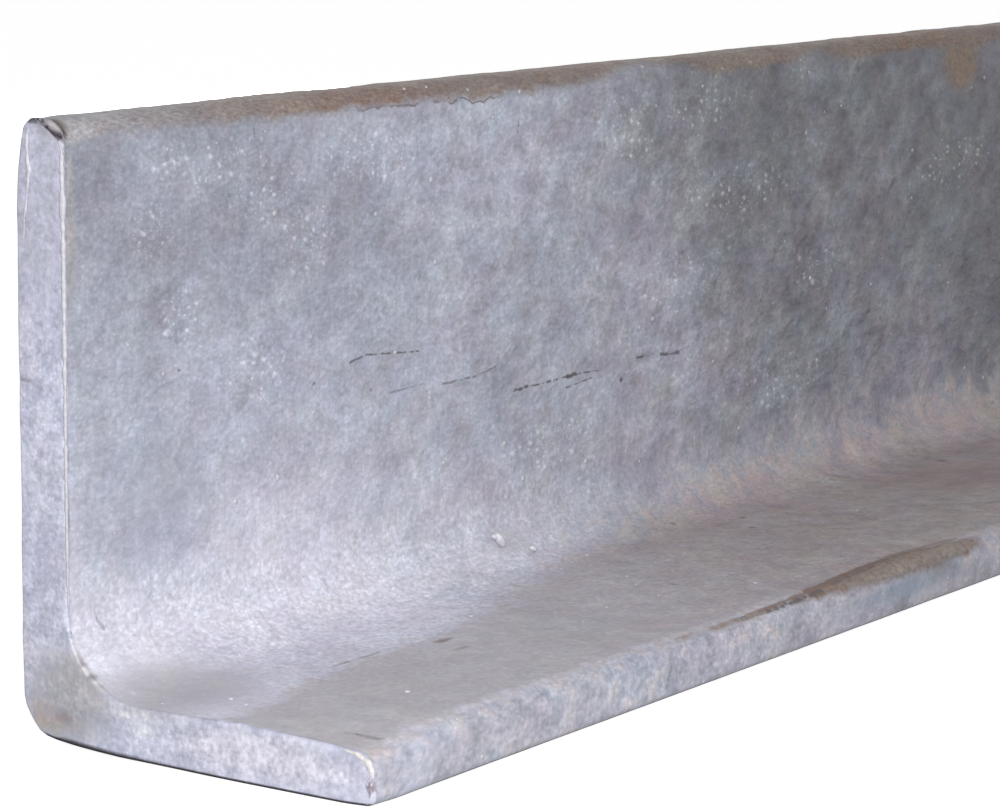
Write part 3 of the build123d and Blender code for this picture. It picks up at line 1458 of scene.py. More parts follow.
class ShaderWeb(NodeWeb):
    """A material's node tree, with the patterns that the zinc is painted with."""

    def __init__(self, material: bpy.types.Material) -> None:
        """Open a material's tree.

        Args:
            material: the material that is built.
        """
        material.use_nodes = True
        super().__init__(material.node_tree)
        self.shader = self.tree.nodes["Principled BSDF"]
        self.place = self.node("ShaderNodeTexCoord").outputs["Object"]

    def mask(self, mask: Mask) -> Socket:
        """Read a finish mask."""
        return self.node("ShaderNodeAttribute", attribute_name=mask.value).outputs["Fac"]

    def mix(self, share: Operand, low: Socket | Colour, high: Socket | Colour) -> Socket:
        """Go from one colour to another.

        Args:
            share: how much of the second colour there is.
            low: the first colour.
            high: the second colour.

        Returns:
            The mixed colour.
        """
        low, high = ((*c, 1.0) if isinstance(c, tuple) else c for c in (low, high))
        inputs = {0: share, 6: low, 7: high}
        return self.node("ShaderNodeMix", inputs, data_type="RGBA", blend_type="MIX").outputs[2]

    def off(self, value: Socket, amount: float) -> Socket:
        """Centre a noise on 0 and scale it by an amount."""
        return self.math("MULTIPLY_ADD", value, amount, -0.5 * amount)

    def shade(self, colour: Socket | Colour, factor: Operand) -> Socket:
        """Multiply a colour by a factor."""
        return self.vector("SCALE", colour, scale=factor)

    def vary(self, colour: Socket | Colour, change: Socket) -> Socket:
        """Make a colour lighter or darker by a change about 0."""
        return self.shade(colour, self.add(change, 1.0))

    def cells(self, place: Socket, size: float, seed: float) -> tuple[Socket, Socket]:
        """Divide a surface into rounded cells.

        Args:
            place: the coordinates.
            size: the size of a cell.
            seed: shifts the pattern.

        Returns:
            The distance from the cell's middle, in cells, and a number drawn for the cell.
        """
        shifted = self.vector("ADD", place, (seed * 0.013, seed * 0.007, seed * 0.019))
        cells = self.node("ShaderNodeTexVoronoi", {"Vector": shifted, "Scale": 1.0 / size},
                          feature="F1", voronoi_dimensions="2D")
        drawn = self.node("ShaderNodeSeparateColor", {0: cells.outputs["Color"]})
        return cells.outputs["Distance"], drawn.outputs[0]

    def specks(self, place: Socket, size: float, reach: float, rarity: float, seed: float) -> Socket:
        """Scatter soft round specks of many sizes.

        Args:
            place: the coordinates.
            size: the size of the cell that holds one speck.
            reach: the largest speck's radius as a share of its cell.
            rarity: how rare the large ones are.
            seed: shifts the pattern.

        Returns:
            A mask, 1 in the middle of a speck.
        """
        distance, drawn = self.cells(place, size, seed)
        radius = self.mul(self.math("POWER", drawn, rarity), reach)
        return self.ramp(distance, radius, 0.0)

    def pebbles(self, place: Socket, size: float, seed: float) -> Socket:
        """Pack rounded grains of random brightness, from 0 to 1."""
        distance, drawn = self.cells(place, size, seed)
        return self.mul(self.ramp(distance, 0.75, 0.1), drawn)

    def stroke(self, start: Vector, end: Vector, half: float, into: Triple, ragged: Socket,
               roughness: float) -> Socket:
        """Draw a thin line.

        Args:
            start: where it starts.
            end: where it ends.
            half: half its width.
            into: how much a gap along each axis counts, least along the face's normal.
            ragged: a noise about 0.5 that breaks it up.
            roughness: how far it does, from 0 to 1.

        Returns:
            A mask, 1 on the line.
        """
        run = end - start
        offset = self.vector("SUBTRACT", self.place, tuple(start))
        share = self.math("MULTIPLY", self.vector("DOT_PRODUCT", offset, tuple(run)),
                          1.0 / max(run.length_squared, 1e-12), clamp=True)
        aside = self.vector("SUBTRACT", offset, self.vector("SCALE", tuple(run), scale=share))
        gap = self.vector("LENGTH", self.vector("MULTIPLY", aside, into))
        width = self.ramp(ragged, 0.38, 0.61, 1.0 - 0.9 * roughness, 1.0 + 0.7 * roughness)
        reach = self.mul(width, half)
        return self.ramp(gap, reach, self.mul(reach, 0.3))

    def blotch(self, middle: Triple, reach: Triple, ragged: Socket, roughness: float) -> Socket:
        """Lay a soft, ragged patch.

        Args:
            middle: its middle.
            reach: how far it goes along each axis.
            ragged: a noise about 0.5 that breaks its edge.
            roughness: how ragged its edge is.

        Returns:
            A mask, 1 in the middle of the patch.
        """
        offset = self.vector("DIVIDE", self.vector("SUBTRACT", self.place, middle), reach)
        uneven = self.math("MULTIPLY_ADD", ragged, 2.0 * roughness, -roughness)
        return self.ramp(self.add(self.vector("LENGTH", offset), uneven), 1.0, 0.25)


DARK = (0.10, 0.09, 0.10)
RED_BROWN = (0.22, 0.12, 0.11)
OLIVE = (0.30, 0.27, 0.23)
STAIN_LINE = (0.19, 0.125, 0.105)
# A pale colour for painted highlights on the bumps by the root of the cut and on the root's rounded edge.
PAINTED_HIGHLIGHT = (0.74, 0.73, 0.74)

# How much a gap along each axis counts for a scratch on one of the faces.
LEG_FACE = (1.0, 0.2, 1.0)
FOOT_FACE = (1.0, 1.0, 0.2)
TOE_EDGE = (1.0, 0.8, 0.4)


@dataclass(frozen=True)
class Scratch:
    """A dark scratch: its ends as along, deep and up, half its width, and how it is broken up."""

    start: Triple
    end: Triple
    half: float
    strength: float
    into: Triple = LEG_FACE
    colour: Colour = DARK
    ragged: float = 1.0


@dataclass(frozen=True)
class Patch:
    """A patch of another colour: its middle as along, deep and up, its reach and its strength."""

    middle: Triple
    reach: Triple
    colour: Colour
    strength: float
    ragged: float = 0.8


def leg_scratch(from_end: float, up: float, to_end: float, to_up: float, half: float = 0.28,
                strength: float = 0.8) -> Scratch:
    """Place a scratch on the leg's inner face, in millimetres."""
    return Scratch(mm(from_end, 13, up), mm(to_end, 13, to_up), half * MM, strength)


def leg_dot(from_end: float, up: float, across: float, colour: Colour, strength: float) -> Patch:
    """Place a small dot on the leg's inner face, in millimetres."""
    reach = (across * MM, 2 * MM, 0.65 * across * MM)
    return Patch(mm(from_end, 13, up), reach, colour, strength, 0.3)


def patches(*rows: tuple[object, ...]) -> tuple[Patch, ...]:
    """Make patches from rows of middle and reach in millimetres, colour, strength and raggedness."""
    return tuple(Patch(mm(*middle), mm(*reach), *looks) for middle, reach, *looks in rows)


SCRATCHES = (
    leg_scratch(95, 67.5, 101, 68.5, 0.32),
    leg_scratch(101, 68.5, 121, 66.9, 0.28),
    leg_scratch(159.5, 52.9, 165, 53.2, 0.5, 0.95),
    leg_scratch(166, 53.1, 184, 53.6, 0.34, 0.85),
    leg_scratch(182, 53.5, 186, 53.8, 0.6, 0.9),
    leg_scratch(187, 53.7, 197, 53.3, 0.34),
    leg_scratch(181.5, 50.9, 192.6, 51.9, 0.32, 0.7),
    leg_scratch(110, 58.9, 123, 59.4, 0.34, 0.5),
    leg_scratch(130.5, 58.2, 144, 58.4, 0.32, 0.65),
    leg_scratch(144, 58.4, 151.5, 59.6, 0.3, 0.6),
    leg_scratch(213, 54.4, 221, 54.3, 0.42, 0.8),
    leg_scratch(224, 53.8, 233, 53.4, 0.5, 0.85),
    leg_scratch(8.6, 27.4, 9.2, 25.4, 0.4, 0.45),
    leg_scratch(9.4, 25.0, 10.6, 23.4, 0.5, 0.45),
    leg_scratch(160.2, 113.6, 160.6, 116.6, 0.4, 0.7),
    leg_scratch(61, 121.9, 61.4, 119.5, 0.4, 0.5),
    Scratch(mm(7.8, 74.7, 11.2), mm(9.3, 78.2, 11.2), 0.8 * MM, 0.3, FOOT_FACE),
    Scratch(mm(9.3, 78.2, 11.2), mm(9.2, 83.3, 11), 1.0 * MM, 0.42, FOOT_FACE),
    Scratch(mm(47, 43.8, 12.3), mm(64, 43.2, 12.3), 0.6 * MM, 0.45, FOOT_FACE),
    Scratch(mm(112, 87, 12.3), mm(150, 86.6, 12.4), 0.45 * MM, 0.55, TOE_EDGE, STAIN_LINE, 0.4),
    Scratch(mm(148, 86.6, 12.4), mm(172, 85.8, 12.5), 0.75 * MM, 0.7, TOE_EDGE, STAIN_LINE, 0.5),
    Scratch(mm(170, 85.8, 12.5), mm(192, 84, 12.6), 1.0 * MM, 0.75, TOE_EDGE, STAIN_LINE, 0.5),
    Scratch(mm(190, 84.2, 12.6), mm(218, 82.4, 12.6), 1.3 * MM, 0.65, TOE_EDGE, STAIN_LINE, 0.5),
    Scratch(mm(218, 82.4, 12.6), mm(246, 85, 12.5), 0.8 * MM, 0.6, TOE_EDGE, STAIN_LINE, 0.5),
    Scratch(mm(150, 87.2, 12), mm(176, 86.6, 11.8), 0.5 * MM, 0.85, TOE_EDGE),
    Scratch(mm(182, 85.8, 12), mm(208, 84.6, 12), 0.45 * MM, 0.7, TOE_EDGE),
)

DOTS_AND_HIGHLIGHTS = (
    leg_dot(102.8, 60.4, 0.8, RED_BROWN, 0.7),
    leg_dot(206.2, 49.7, 1.3, DARK, 0.95),
    leg_dot(36, 73, 0.9, DARK, 0.7),
    leg_dot(82, 64.5, 1.0, DARK, 0.6),
    leg_dot(18.7, 20.6, 0.9, DARK, 0.85),
    *patches(
        ((80.8, 48, 12.4), (4, 1.9, 3), RED_BROWN, 0.7, 0.8),
        ((76.7, 55, 12.3), (4, 1.4, 3), RED_BROWN, 0.4, 0.8),
        ((237, 29.4, 12.8), (1.2, 1.5, 3), RED_BROWN, 0.7, 0.6),
        ((227.5, 38.2, 12.6), (1.1, 1.4, 3), DARK, 0.65, 0.6),
        ((215.7, 22.2, 13.4), (1.2, 1.4, 3), DARK, 0.5, 0.6),
        ((339.6, 31.5, 12.8), (2.4, 3, 4), RED_BROWN, 0.6, 0.6),
        ((158.4, 57.6, 12.3), (1.2, 1.4, 3), DARK, 0.5, 0.6),
        ((0.6, 4.8, 126.6), (2, 2.8, 1), DARK, 0.85, 0.6),
        ((0, 88, 4.2), (2, 1.1, 2.2), (0.16, 0.11, 0.14), 0.9, 0.4),
        ((0.8, 11.9, 123.2), (1.7, 1.3, 1.3), (0.19, 0.13, 0.15), 0.6, 0.6),
        ((0.8, 16.2, 18.9), (2.2, 1.3, 1.6), (0.20, 0.15, 0.17), 0.65, 0.9),
        ((0.8, 18.8, 16.2), (2, 1.4, 1.1), DARK, 0.5, 0.9),
        ((0.8, 21.6, 14.8), (2.4, 1.8, 1), DARK, 0.55, 0.8),
        ((0.8, 25.8, 13.7), (2.4, 1.6, 1), DARK, 0.5, 0.8),
        # Painted highlights on the root's rounded edge at the cut.
        ((0.6, 17.4, 17.3), (2, 1.5, 1.3), PAINTED_HIGHLIGHT, 0.55, 0.9),
        ((0.6, 20.2, 15.2), (2, 1.6, 1.1), PAINTED_HIGHLIGHT, 0.6, 0.9),
        ((0.6, 14.6, 21.6), (2, 1.2, 2.2), PAINTED_HIGHLIGHT, 0.5, 0.9),
        ((0, 2, 74.6), (1.5, 2.6, 0.8), DARK, 0.5, 0.4),
    ),
)

STAINS_AND_HIGHLIGHTS = patches(
    ((57, 12.8, 81.5), (5, 4, 5), (0.36, 0.38, 0.44), 0.8),
    ((0, 6, 110), (3, 16, 34), (0.39, 0.395, 0.48), 0.75),
    ((0, 13, 11), (4, 17, 14), (0.345, 0.342, 0.38), 0.9),
    # Darkens the rounded edge at the root of the cut.
    ((0.9, 17.5, 17.5), (1.6, 9, 9), (0.37, 0.35, 0.35), 0.75),
    ((2.6, 13, 106), (2.4, 3, 24), (0.32, 0.31, 0.325), 0.85),
    ((153, 16.5, 19.5), (15, 5, 8), (0.35, 0.335, 0.33), 0.42),
    ((293.8, 13, 64), (2.2, 3, 4.6), (0.33, 0.34, 0.37), 0.6),
    ((312, 13, 73), (2.5, 3, 4), (0.31, 0.32, 0.35), 0.5),
    ((279.6, 13.5, 24.5), (4.5, 4, 4), (0.42, 0.41, 0.42), 0.6),
    ((298, 14, 22), (4, 4, 3.5), (0.40, 0.39, 0.40), 0.6),
    ((274.7, 16, 18), (6, 4, 3), (0.40, 0.39, 0.40), 0.5),
    ((188, 13, 31), (5, 3, 2.5), (0.52, 0.52, 0.57), 0.5),
    ((404, 15, 19), (6, 5, 5), (0.42, 0.41, 0.40), 0.5),
    ((0, 8, 3.5), (4, 11, 4.5), OLIVE, 0.7),
    ((0, 4.5, 5.5), (4, 4.5, 4.5), (0.34, 0.26, 0.24), 0.6),
    ((0, 11.4, 5.6), (3, 2.8, 2.2), (0.18, 0.11, 0.12), 0.8),
    ((0, 1.8, 19), (3, 3.5, 7), (0.60, 0.575, 0.68), 0.7),
    ((14, 30, 13), (34, 24, 7), (0.41, 0.395, 0.415), 0.6),
    # Painted highlights on the bumps by the root of the cut.
    ((0, 27, 10.5), (3, 5, 2.4), PAINTED_HIGHLIGHT, 0.5),
    ((0, 33, 8), (3, 7, 4), PAINTED_HIGHLIGHT, 0.4),
    ((0, 62, 7), (3, 32, 7), (0.56, 0.545, 0.625), 0.8),
    ((2, 8.6, 125.8), (3.4, 6, 3.2), (0.215, 0.19, 0.192), 1.3),
    ((1, 9.4, 125.5), (1.5, 3.4, 1.6), (0.37, 0.345, 0.335), 0.75),
    ((325, 48, 12.5), (80, 28, 5), (0.32, 0.235, 0.235), 0.42),
    ((396, 13, 11), (18, 7, 7), (0.36, 0.22, 0.19), 0.6),
    ((383, 12.5, 118), (15, 5, 11), (0.24, 0.18, 0.14), 0.9),
    ((140, 87.2, 12.1), (36, 1.8, 1.5), (0.25, 0.21, 0.175), 0.7),
    ((188, 85.5, 12.2), (30, 3.2, 1.9), (0.21, 0.15, 0.13), 0.7),
    ((208, 86.5, 10.6), (34, 4, 2.6), (0.265, 0.228, 0.195), 0.7),
    ((234, 86.8, 10.8), (22, 4, 3.2), (0.25, 0.215, 0.19), 0.7),
    ((40, 89, 6), (75, 5, 8), (0.44, 0.42, 0.475), 0.42),
    ((141, 89, 5.5), (7, 4, 2.4), (0.30, 0.38, 0.46), 0.4),
    ((206, 89, 4), (7, 4, 2.4), (0.27, 0.34, 0.40), 0.4),
    ((264, 89, 3), (6, 4, 2.4), (0.26, 0.32, 0.38), 0.4),
    ((215, 89, 6), (58, 5, 5), (0.175, 0.255, 0.345), 0.42),
    ((231, 89, 7), (9, 5, 4), (0.17, 0.155, 0.15), 0.5),
)


def marked(at: Places) -> np.ndarray:
    """Say where the scratches and the dots are, with a margin around each.

    Args:
        at: the bar's points.

    Returns:
        1 near a mark and 0 away from them all.
    """
    margin = 7 * MM
    near_any = np.zeros(len(at.along), bool)
    spans = [(scratch.start, scratch.end) for scratch in SCRATCHES]
    spans += [(dot.middle, dot.middle) for dot in DOTS_AND_HIGHLIGHTS]
    for start, end in spans:
        inside = np.ones(len(at.along), bool)
        for place, first, last in zip((at.along, at.deep, at.up), start, end):
            inside &= (place > min(first, last) - margin) & (place < max(first, last) + margin)
        near_any |= inside
    return near_any.astype(float)


def write_stains_and_highlights(mesh: bpy.types.Mesh, at: Places) -> None:
    """Store the large stains and the painted highlights as a colour on the mesh's points, with their
    strength as its alpha.

    Args:
        mesh: the mesh.
        at: its points.
    """
    colour = np.zeros((len(at.along), 4), np.float32)
    for stain in STAINS_AND_HIGHLIGHTS:
        middle, reach = stain.middle, stain.reach
        gap = np.sqrt(((at.along - middle[0]) / reach[0]) ** 2 + ((at.deep - middle[1]) / reach[1]) ** 2
                      + ((at.up - middle[2]) / reach[2]) ** 2)
        share = smooth(gap, 1.15, 0.1) * stain.strength
        total = np.maximum(colour[:, 3] + share, 1e-6)
        for channel in range(3):
            colour[:, channel] += (stain.colour[channel] - colour[:, channel]) * share / total
        colour[:, 3] = np.maximum(colour[:, 3], share)
    layer = mesh.attributes.new(Mask.STAIN_AND_HIGHLIGHT.value, "FLOAT_COLOR", "POINT")
    layer.data.foreach_set("color", colour.ravel())


@dataclass(frozen=True)
class Zinc:
    """Dull hot-dip zinc: mottled, grainy and sprinkled with bright crystals that are partly painted
    glints.
    """

    # The zinc colours are bluish, partly a painted blue cast of the lamp on the faces near the near cut,
    # and run from fresh to dull, partly a painted falloff of light along the bar.
    fresh: Colour = (0.652, 0.64, 0.722)
    middling: Colour = (0.41, 0.424, 0.505)
    dull: Colour = (0.193, 0.200, 0.231)
    teal: Colour = (0.965, 1.025, 1.0)
    lilac: Colour = (1.022, 0.974, 1.012)
    blue: Colour = (0.973, 1.0, 1.042)
    buff: Colour = (1.016, 0.993, 0.968)
    # Painted light: a warm cast of the overhead light, laid on the zinc further along the bar.
    far_warm_light_cast: Colour = (1.0, 0.96, 0.93)
    worn_near: Colour = (0.50, 0.478, 0.51)
    worn_far: Colour = (0.352, 0.302, 0.304)
    tip_near: Colour = (0.322, 0.308, 0.328)
    tip_far: Colour = (0.213, 0.163, 0.141)
    rust: Colour = (0.20, 0.135, 0.105)
    cut: Colour = (0.494, 0.498, 0.598)
    cut_blotch: Colour = (0.40, 0.41, 0.505)
    # The colour of the bright crystals, partly a painted glint.
    speck_glint: Colour = (0.80, 0.80, 0.86)
    # The near-black colour of the painted shade in the lip's creases and along the bottom edges of the
    # cut and the toe.
    crease: Colour = (0.022, 0.016, 0.02)
    metallic: float = 0.12
    specular: float = 0.35
    roughness: float = 0.55
    drawn_out: float = 1.45
    patch_size: float = 9 * MM
    dapple_size: float = 3.8 * MM
    grain_size: float = 1.2 * MM
    pebble_size: float = 0.9 * MM
    dimple_size: float = 9 * MM

    def material(self, datum: Datum) -> bpy.types.Material:
        """Build the material.

        Args:
            datum: what places on the bar are measured from.

        Returns:
            The zinc material.
        """
        made = bpy.data.materials.new("hot_dip_zinc")
        ZincWeb(made, self, datum).paint()
        return made


class ZincWeb(ShaderWeb):
    """The zinc's tree: the noises that its layers share, and a method for each layer."""

    def __init__(self, material: bpy.types.Material, zinc: Zinc, datum: Datum) -> None:
        """Open the material's tree and lay out its noises.

        Args:
            material: the material that is built.
            zinc: its colours and sheen.
            datum: what places on the bar are measured from.
        """
        super().__init__(material)
        self.zinc = zinc
        self.datum = datum
        self.axes = self.split(self.place)
        self.cut = self.mask(Mask.CUT)
        self.flow = self._flow()
        drawn = {"Vector": self.flow, "Rotation": (0.0, 0.0, math.radians(12)), "Scale": (1.1, 1.3, 1.0)}
        self.drawn = self.node("ShaderNodeMapping", drawn, vector_type="TEXTURE").outputs["Vector"]
        self.broad = self.mask(Mask.BROAD)
        self.patches = self.noise(self.drawn, zinc.patch_size, 3.0, 0.6, 2.0, "2D")
        self.dapple = self.noise(self.flow, zinc.dapple_size, 2.0, 0.6, 3.0, "2D")
        self.fine = self.noise(self.flow, zinc.grain_size, 2.0, 0.6, 4.0, "2D")
        self.pebble = self.pebbles(self.flow, zinc.pebble_size, 3.0)
        self.grainy = self.add(self.mask(Mask.GRAIN), 0.12)
        self.swing = self.mask(Mask.TONE)
        ragged = self.sway(dapple=1.3, patches=1.2)
        self.worn = self.ramp(self.add(self.mask(Mask.WORN), ragged), -0.3, 0.35)

    def sway(self, **amounts: float) -> Socket:
        """Add noises up by name, each centred on 0 and scaled by its amount."""
        return self.add(*(self.off(getattr(self, name), amount) for name, amount in amounts.items()))

    def paint(self) -> None:
        """Lay the layers over each other and join them to the material's output.

        The marks are only worked out where the second shader has a share.
        """
        colour, rim = self._tips(self._metal())
        colour = self._tint(self.mix(self.cut, colour, self._cut_face()))
        grit = self.add(self.off(self.fine, 0.5), self.math("MULTIPLY_ADD", self.pebble, 0.2, -0.05))
        colour = self.vary(colour, self.mul(self.grainy, grit))
        colour = self.mix(rim, self._stained_and_highlit(self._crystals_and_glints(colour)), DARK)
        # Painted shade: the crease mask darkens the lip's creases and the bottom edges of the cut and the
        # toe to near black.
        crease = self.mul(self.mask(Mask.CREASE_SHADE), 0.94)
        marked = self.mix(crease, self._marks(colour), self.zinc.crease)
        colour = self.mix(crease, colour, self.zinc.crease)
        bump = self.node("ShaderNodeBump", {"Strength": 1.0, "Distance": 1.0, "Height": self._relief()})
        other = self.node("ShaderNodeBsdfPrincipled")
        blend = self.node("ShaderNodeMixShader", {
            0: self.mask(Mask.MARKED), 1: self._surface(self.shader, colour, bump.outputs[0]),
            2: self._surface(other, marked, bump.outputs[0])})
        self.feed(self.tree.nodes["Material Output"], {"Surface": blend.outputs[0]})

    def _flow(self) -> Socket:
        """Lay coordinates along the bar and down the draining zinc, and straight across the cuts.

        Returns:
            The coordinates, of which the first two count.
        """
        x, y, z = self.axes
        along = self.join(X=self.mul(x, 1.0 / self.zinc.drawn_out), Y=self.mask(Mask.FLOW))
        return self.choose(self.math("GREATER_THAN", self.cut, 0.5), along, self.join(X=y, Y=z))

    def _metal(self) -> Socket:
        """Colour the zinc from fresh to dull, partly a painted falloff of light along the bar, brown
        where it is worn, and warmer further along as a painted warm cast of light.

        Returns:
            The colour.
        """
        zinc, near = self.zinc, self.datum.near
        swell = self.math("MULTIPLY_ADD", self.broad, 0.6, -0.3)
        share = self.math("ADD", self.mask(Mask.FRESH), swell, clamp=True)
        colour = self.mix(self.ramp(share, 0.0, 0.5), zinc.dull, zinc.middling)
        colour = self.mix(self.ramp(share, 0.45, 1.0), colour, zinc.fresh)
        colour = self.mix(self.worn, colour, self.mix(share, zinc.worn_far, zinc.worn_near))
        # Painted light: the zinc turns warmer further along the bar, as a warm cast of light.
        far = self.ramp(self.axes[0], near + 90 * MM, near + 250 * MM)
        colour = self.vector("MULTIPLY", colour, self.mix(far, WHITE, zinc.far_warm_light_cast))
        tone = self.sway(patches=0.72, dapple=0.6, broad=0.3)
        return self.vary(colour, self.mul(tone, self.swing))

    def _tips(self, colour: Socket) -> tuple[Socket, Socket]:
        """Brown the tips of the two legs, where the zinc is thin, and rust them in places.

        Args:
            colour: the colour so far.

        Returns:
            The colour with the tips in it, and a mask of the brown's dark rim.
        """
        zinc, near = self.zinc, self.datum.near
        wander = self.sway(patches=0.9, dapple=0.7)
        level = self.add(self.mask(Mask.TIP), wander)
        brown = self.mix(self.ramp(self.axes[0], near, near + 82 * MM), zinc.tip_near, zinc.tip_far)
        brown = self.vary(brown, self.sway(patches=0.8, fine=0.6))
        wander = self.sway(dapple=1.8, patches=1.0)
        rusty = self.add(self.mask(Mask.RUST), wander)
        rust = self.vary(zinc.rust, self.off(self.fine, 1.0))
        brown = self.mix(self.ramp(rusty, 0.25, 0.85), brown, rust)
        rim = self.mul(self.ramp(self.math("ABSOLUTE", level), 0.1, 0.015),
                       self.ramp(self.patches, 0.34, 0.5), self.mask(Mask.RIM))
        return self.mix(self.ramp(level, -0.3, 0.45, 0.0, 0.95), colour, brown), rim

    def _cut_face(self) -> Socket:
        """Colour the crusty zinc on the cuts.

        Returns:
            The colour.
        """
        crust = self.add(self.patches, self.sway(dapple=0.35, fine=0.1))
        colour = self.mix(self.ramp(crust, 0.38, 0.6), self.zinc.cut_blotch, self.zinc.cut)
        tone = self.sway(dapple=0.55, fine=0.2)
        return self.vary(colour, self.mul(tone, self.swing))

    def _tint(self, colour: Socket) -> Socket:
        """Tint the zinc between teal and lilac, and between blue and buff.

        Args:
            colour: the colour so far.

        Returns:
            The tinted colour.
        """
        zinc = self.zinc
        wide = self.add(self.mask(Mask.TINT),
                        self.sub(self.off(self.dapple, 0.35), self.off(self.patches, 0.7)))
        small = self.noise(self.drawn, zinc.patch_size, 2.0, 0.6, 5.0, "2D")
        first = self.mix(self.ramp(wide, 0.3, 0.7), zinc.teal, zinc.lilac)
        second = self.mix(self.ramp(small, 0.34, 0.66), zinc.blue, zinc.buff)
        tint = self.vector("SUBTRACT", self.vector("MULTIPLY", first, second), WHITE)
        return self.vector("MULTIPLY_ADD", self.shade(tint, self.mask(Mask.HUE)), colour, colour)

    def _crystals_and_glints(self, colour: Socket) -> Socket:
        """Sprinkle bright crystals where they gather, fewer where the zinc is worn; their brightness is
        partly painted glints.

        Args:
            colour: the colour so far.

        Returns:
            The colour with the crystals in it.
        """
        crowd = self.add(self.mask(Mask.SPECKS_AND_GLINTS), self.off(self.patches, 1.1))
        aside = self.join(X=self.off(self.fine, 0.7 * MM),
                          Y=self.sway(fine=1.0 * MM, dapple=1.5 * MM))
        ragged = self.vector("ADD", self.flow, aside)
        specks = self.math("MAXIMUM", self.specks(ragged, 2.5 * MM, 0.45, 1.5, 1.0),
                           self.mul(self.specks(ragged, 1.2 * MM, 0.48, 1.3, 7.0), 0.6))
        specks = self.mul(specks, self.ramp(crowd, 0.15, 0.75),
                          self.math("MULTIPLY_ADD", self.worn, -0.7, 1.0))
        bright = self.mix(self.mul(specks, 0.45), self.shade(colour, 1.4), self.zinc.speck_glint)
        return self.mix(specks, colour, bright)

    def _stained_and_highlit(self, colour: Socket) -> Socket:
        """Lay the stains and the painted highlights that the mesh carries over the zinc.

        Args:
            colour: the colour so far.

        Returns:
            The stained colour.
        """
        stain = self.node("ShaderNodeAttribute", attribute_name=Mask.STAIN_AND_HIGHLIGHT.value)
        uneven = self.sway(fine=1.2, dapple=1.2)
        there = self.mul(stain.outputs["Alpha"], self.add(uneven, 1.0))
        stained = self.vary(stain.outputs["Color"], self.mul(uneven, 0.6))
        return self.mix(self.ramp(there, 0.05, 0.8), colour, stained)

    def _marks(self, colour: Socket) -> Socket:
        """Draw the scratches and the dots, some of which are painted highlights.

        Args:
            colour: the colour so far.

        Returns:
            The colour with the marks in it.
        """
        ragged = self.mul(self.add(self.fine, self.dapple), 0.5)
        spot = self.datum.point
        for dot in DOTS_AND_HIGHLIGHTS:
            middle = tuple(Vector(spot(*dot.middle)))
            mask = self.blotch(middle, dot.reach, ragged, dot.ragged)
            colour = self.mix(self.mul(mask, dot.strength), colour, dot.colour)
        for scratch in SCRATCHES:
            mask = self.stroke(Vector(spot(*scratch.start)), Vector(spot(*scratch.end)),
                               scratch.half, scratch.into, ragged, scratch.ragged)
            colour = self.mix(self.mul(mask, scratch.strength), colour, scratch.colour)
        return colour

    def _relief(self) -> Socket:
        """Raise the zinc's dapple and grain, and press a few shallow dimples into it.

        Returns:
            The height, which fades out over the edge of the cut.
        """
        distance, drawn = self.cells(self.drawn, self.zinc.dimple_size, 5.0)
        dimples = self.mul(self.ramp(distance, 0.5, 0.3), self.ramp(drawn, 0.5, 0.8))
        waves = self.sway(dapple=0.36 * MM, patches=0.8 * MM)
        seam = self.ramp(self.math("ABSOLUTE", self.sub(self.cut, 0.5)), 0.0, 0.4)
        seam = self.mul(seam, self.ramp(self.mask(Mask.TIP), -0.3, 0.6, 1.0, 0.4))
        waves = self.mul(self.sub(waves, self.mul(dimples, 0.2 * MM)), self.mul(self.swing, seam))
        grit = self.add(self.off(self.fine, 0.07 * MM), self.mul(self.pebble, 0.03 * MM))
        return self.add(waves, self.mul(grit, self.grainy))

    def _surface(self, shader: bpy.types.Node, colour: Socket, normal: Socket) -> Socket:
        """Set up one surface shader.

        Args:
            shader: the shader's node.
            colour: its colour.
            normal: its bumped normal.

        Returns:
            The shader's output.
        """
        zinc = self.zinc
        self.feed(shader, {
            "Metallic": zinc.metallic, "Base Color": colour, "Normal": normal,
            "Roughness": self.math("MULTIPLY_ADD", self.dapple, 0.3, zinc.roughness - 0.15),
            # The specular fades out under the painted crease shade.
            "Specular IOR Level": self.ramp(self.mask(Mask.CREASE_SHADE), 0.0, 0.7, zinc.specular, 0.0)})
        return shader.outputs[0]


@dataclass(frozen=True)
class BareZinc:
    """Plain bright zinc without the bar's marks, for the nodules and the beads."""

    name: str
    fresh: Colour
    dull: Colour
    metallic: float = 0.05
    roughness: float = 0.6

    def material(self) -> bpy.types.Material:
        """Build the material.

        Returns:
            The zinc material.
        """
        made = bpy.data.materials.new(self.name)
        web = ShaderWeb(made)
        wide = web.off(web.noise(web.place, 20 * MM, 2.0), 0.8)
        share = web.math("ADD", web.mask(Mask.FRESH), wide, clamp=True)
        tone = web.off(web.noise(web.place, 0.9 * MM, 2.0, 0.6, 9.0), 0.7)
        web.feed(web.shader, {
            "Base Color": web.vary(web.mix(share, self.dull, self.fresh), tone),
            "Metallic": self.metallic, "Roughness": self.roughness})
        return made


# --------------------------------------------------------------------------- the studio


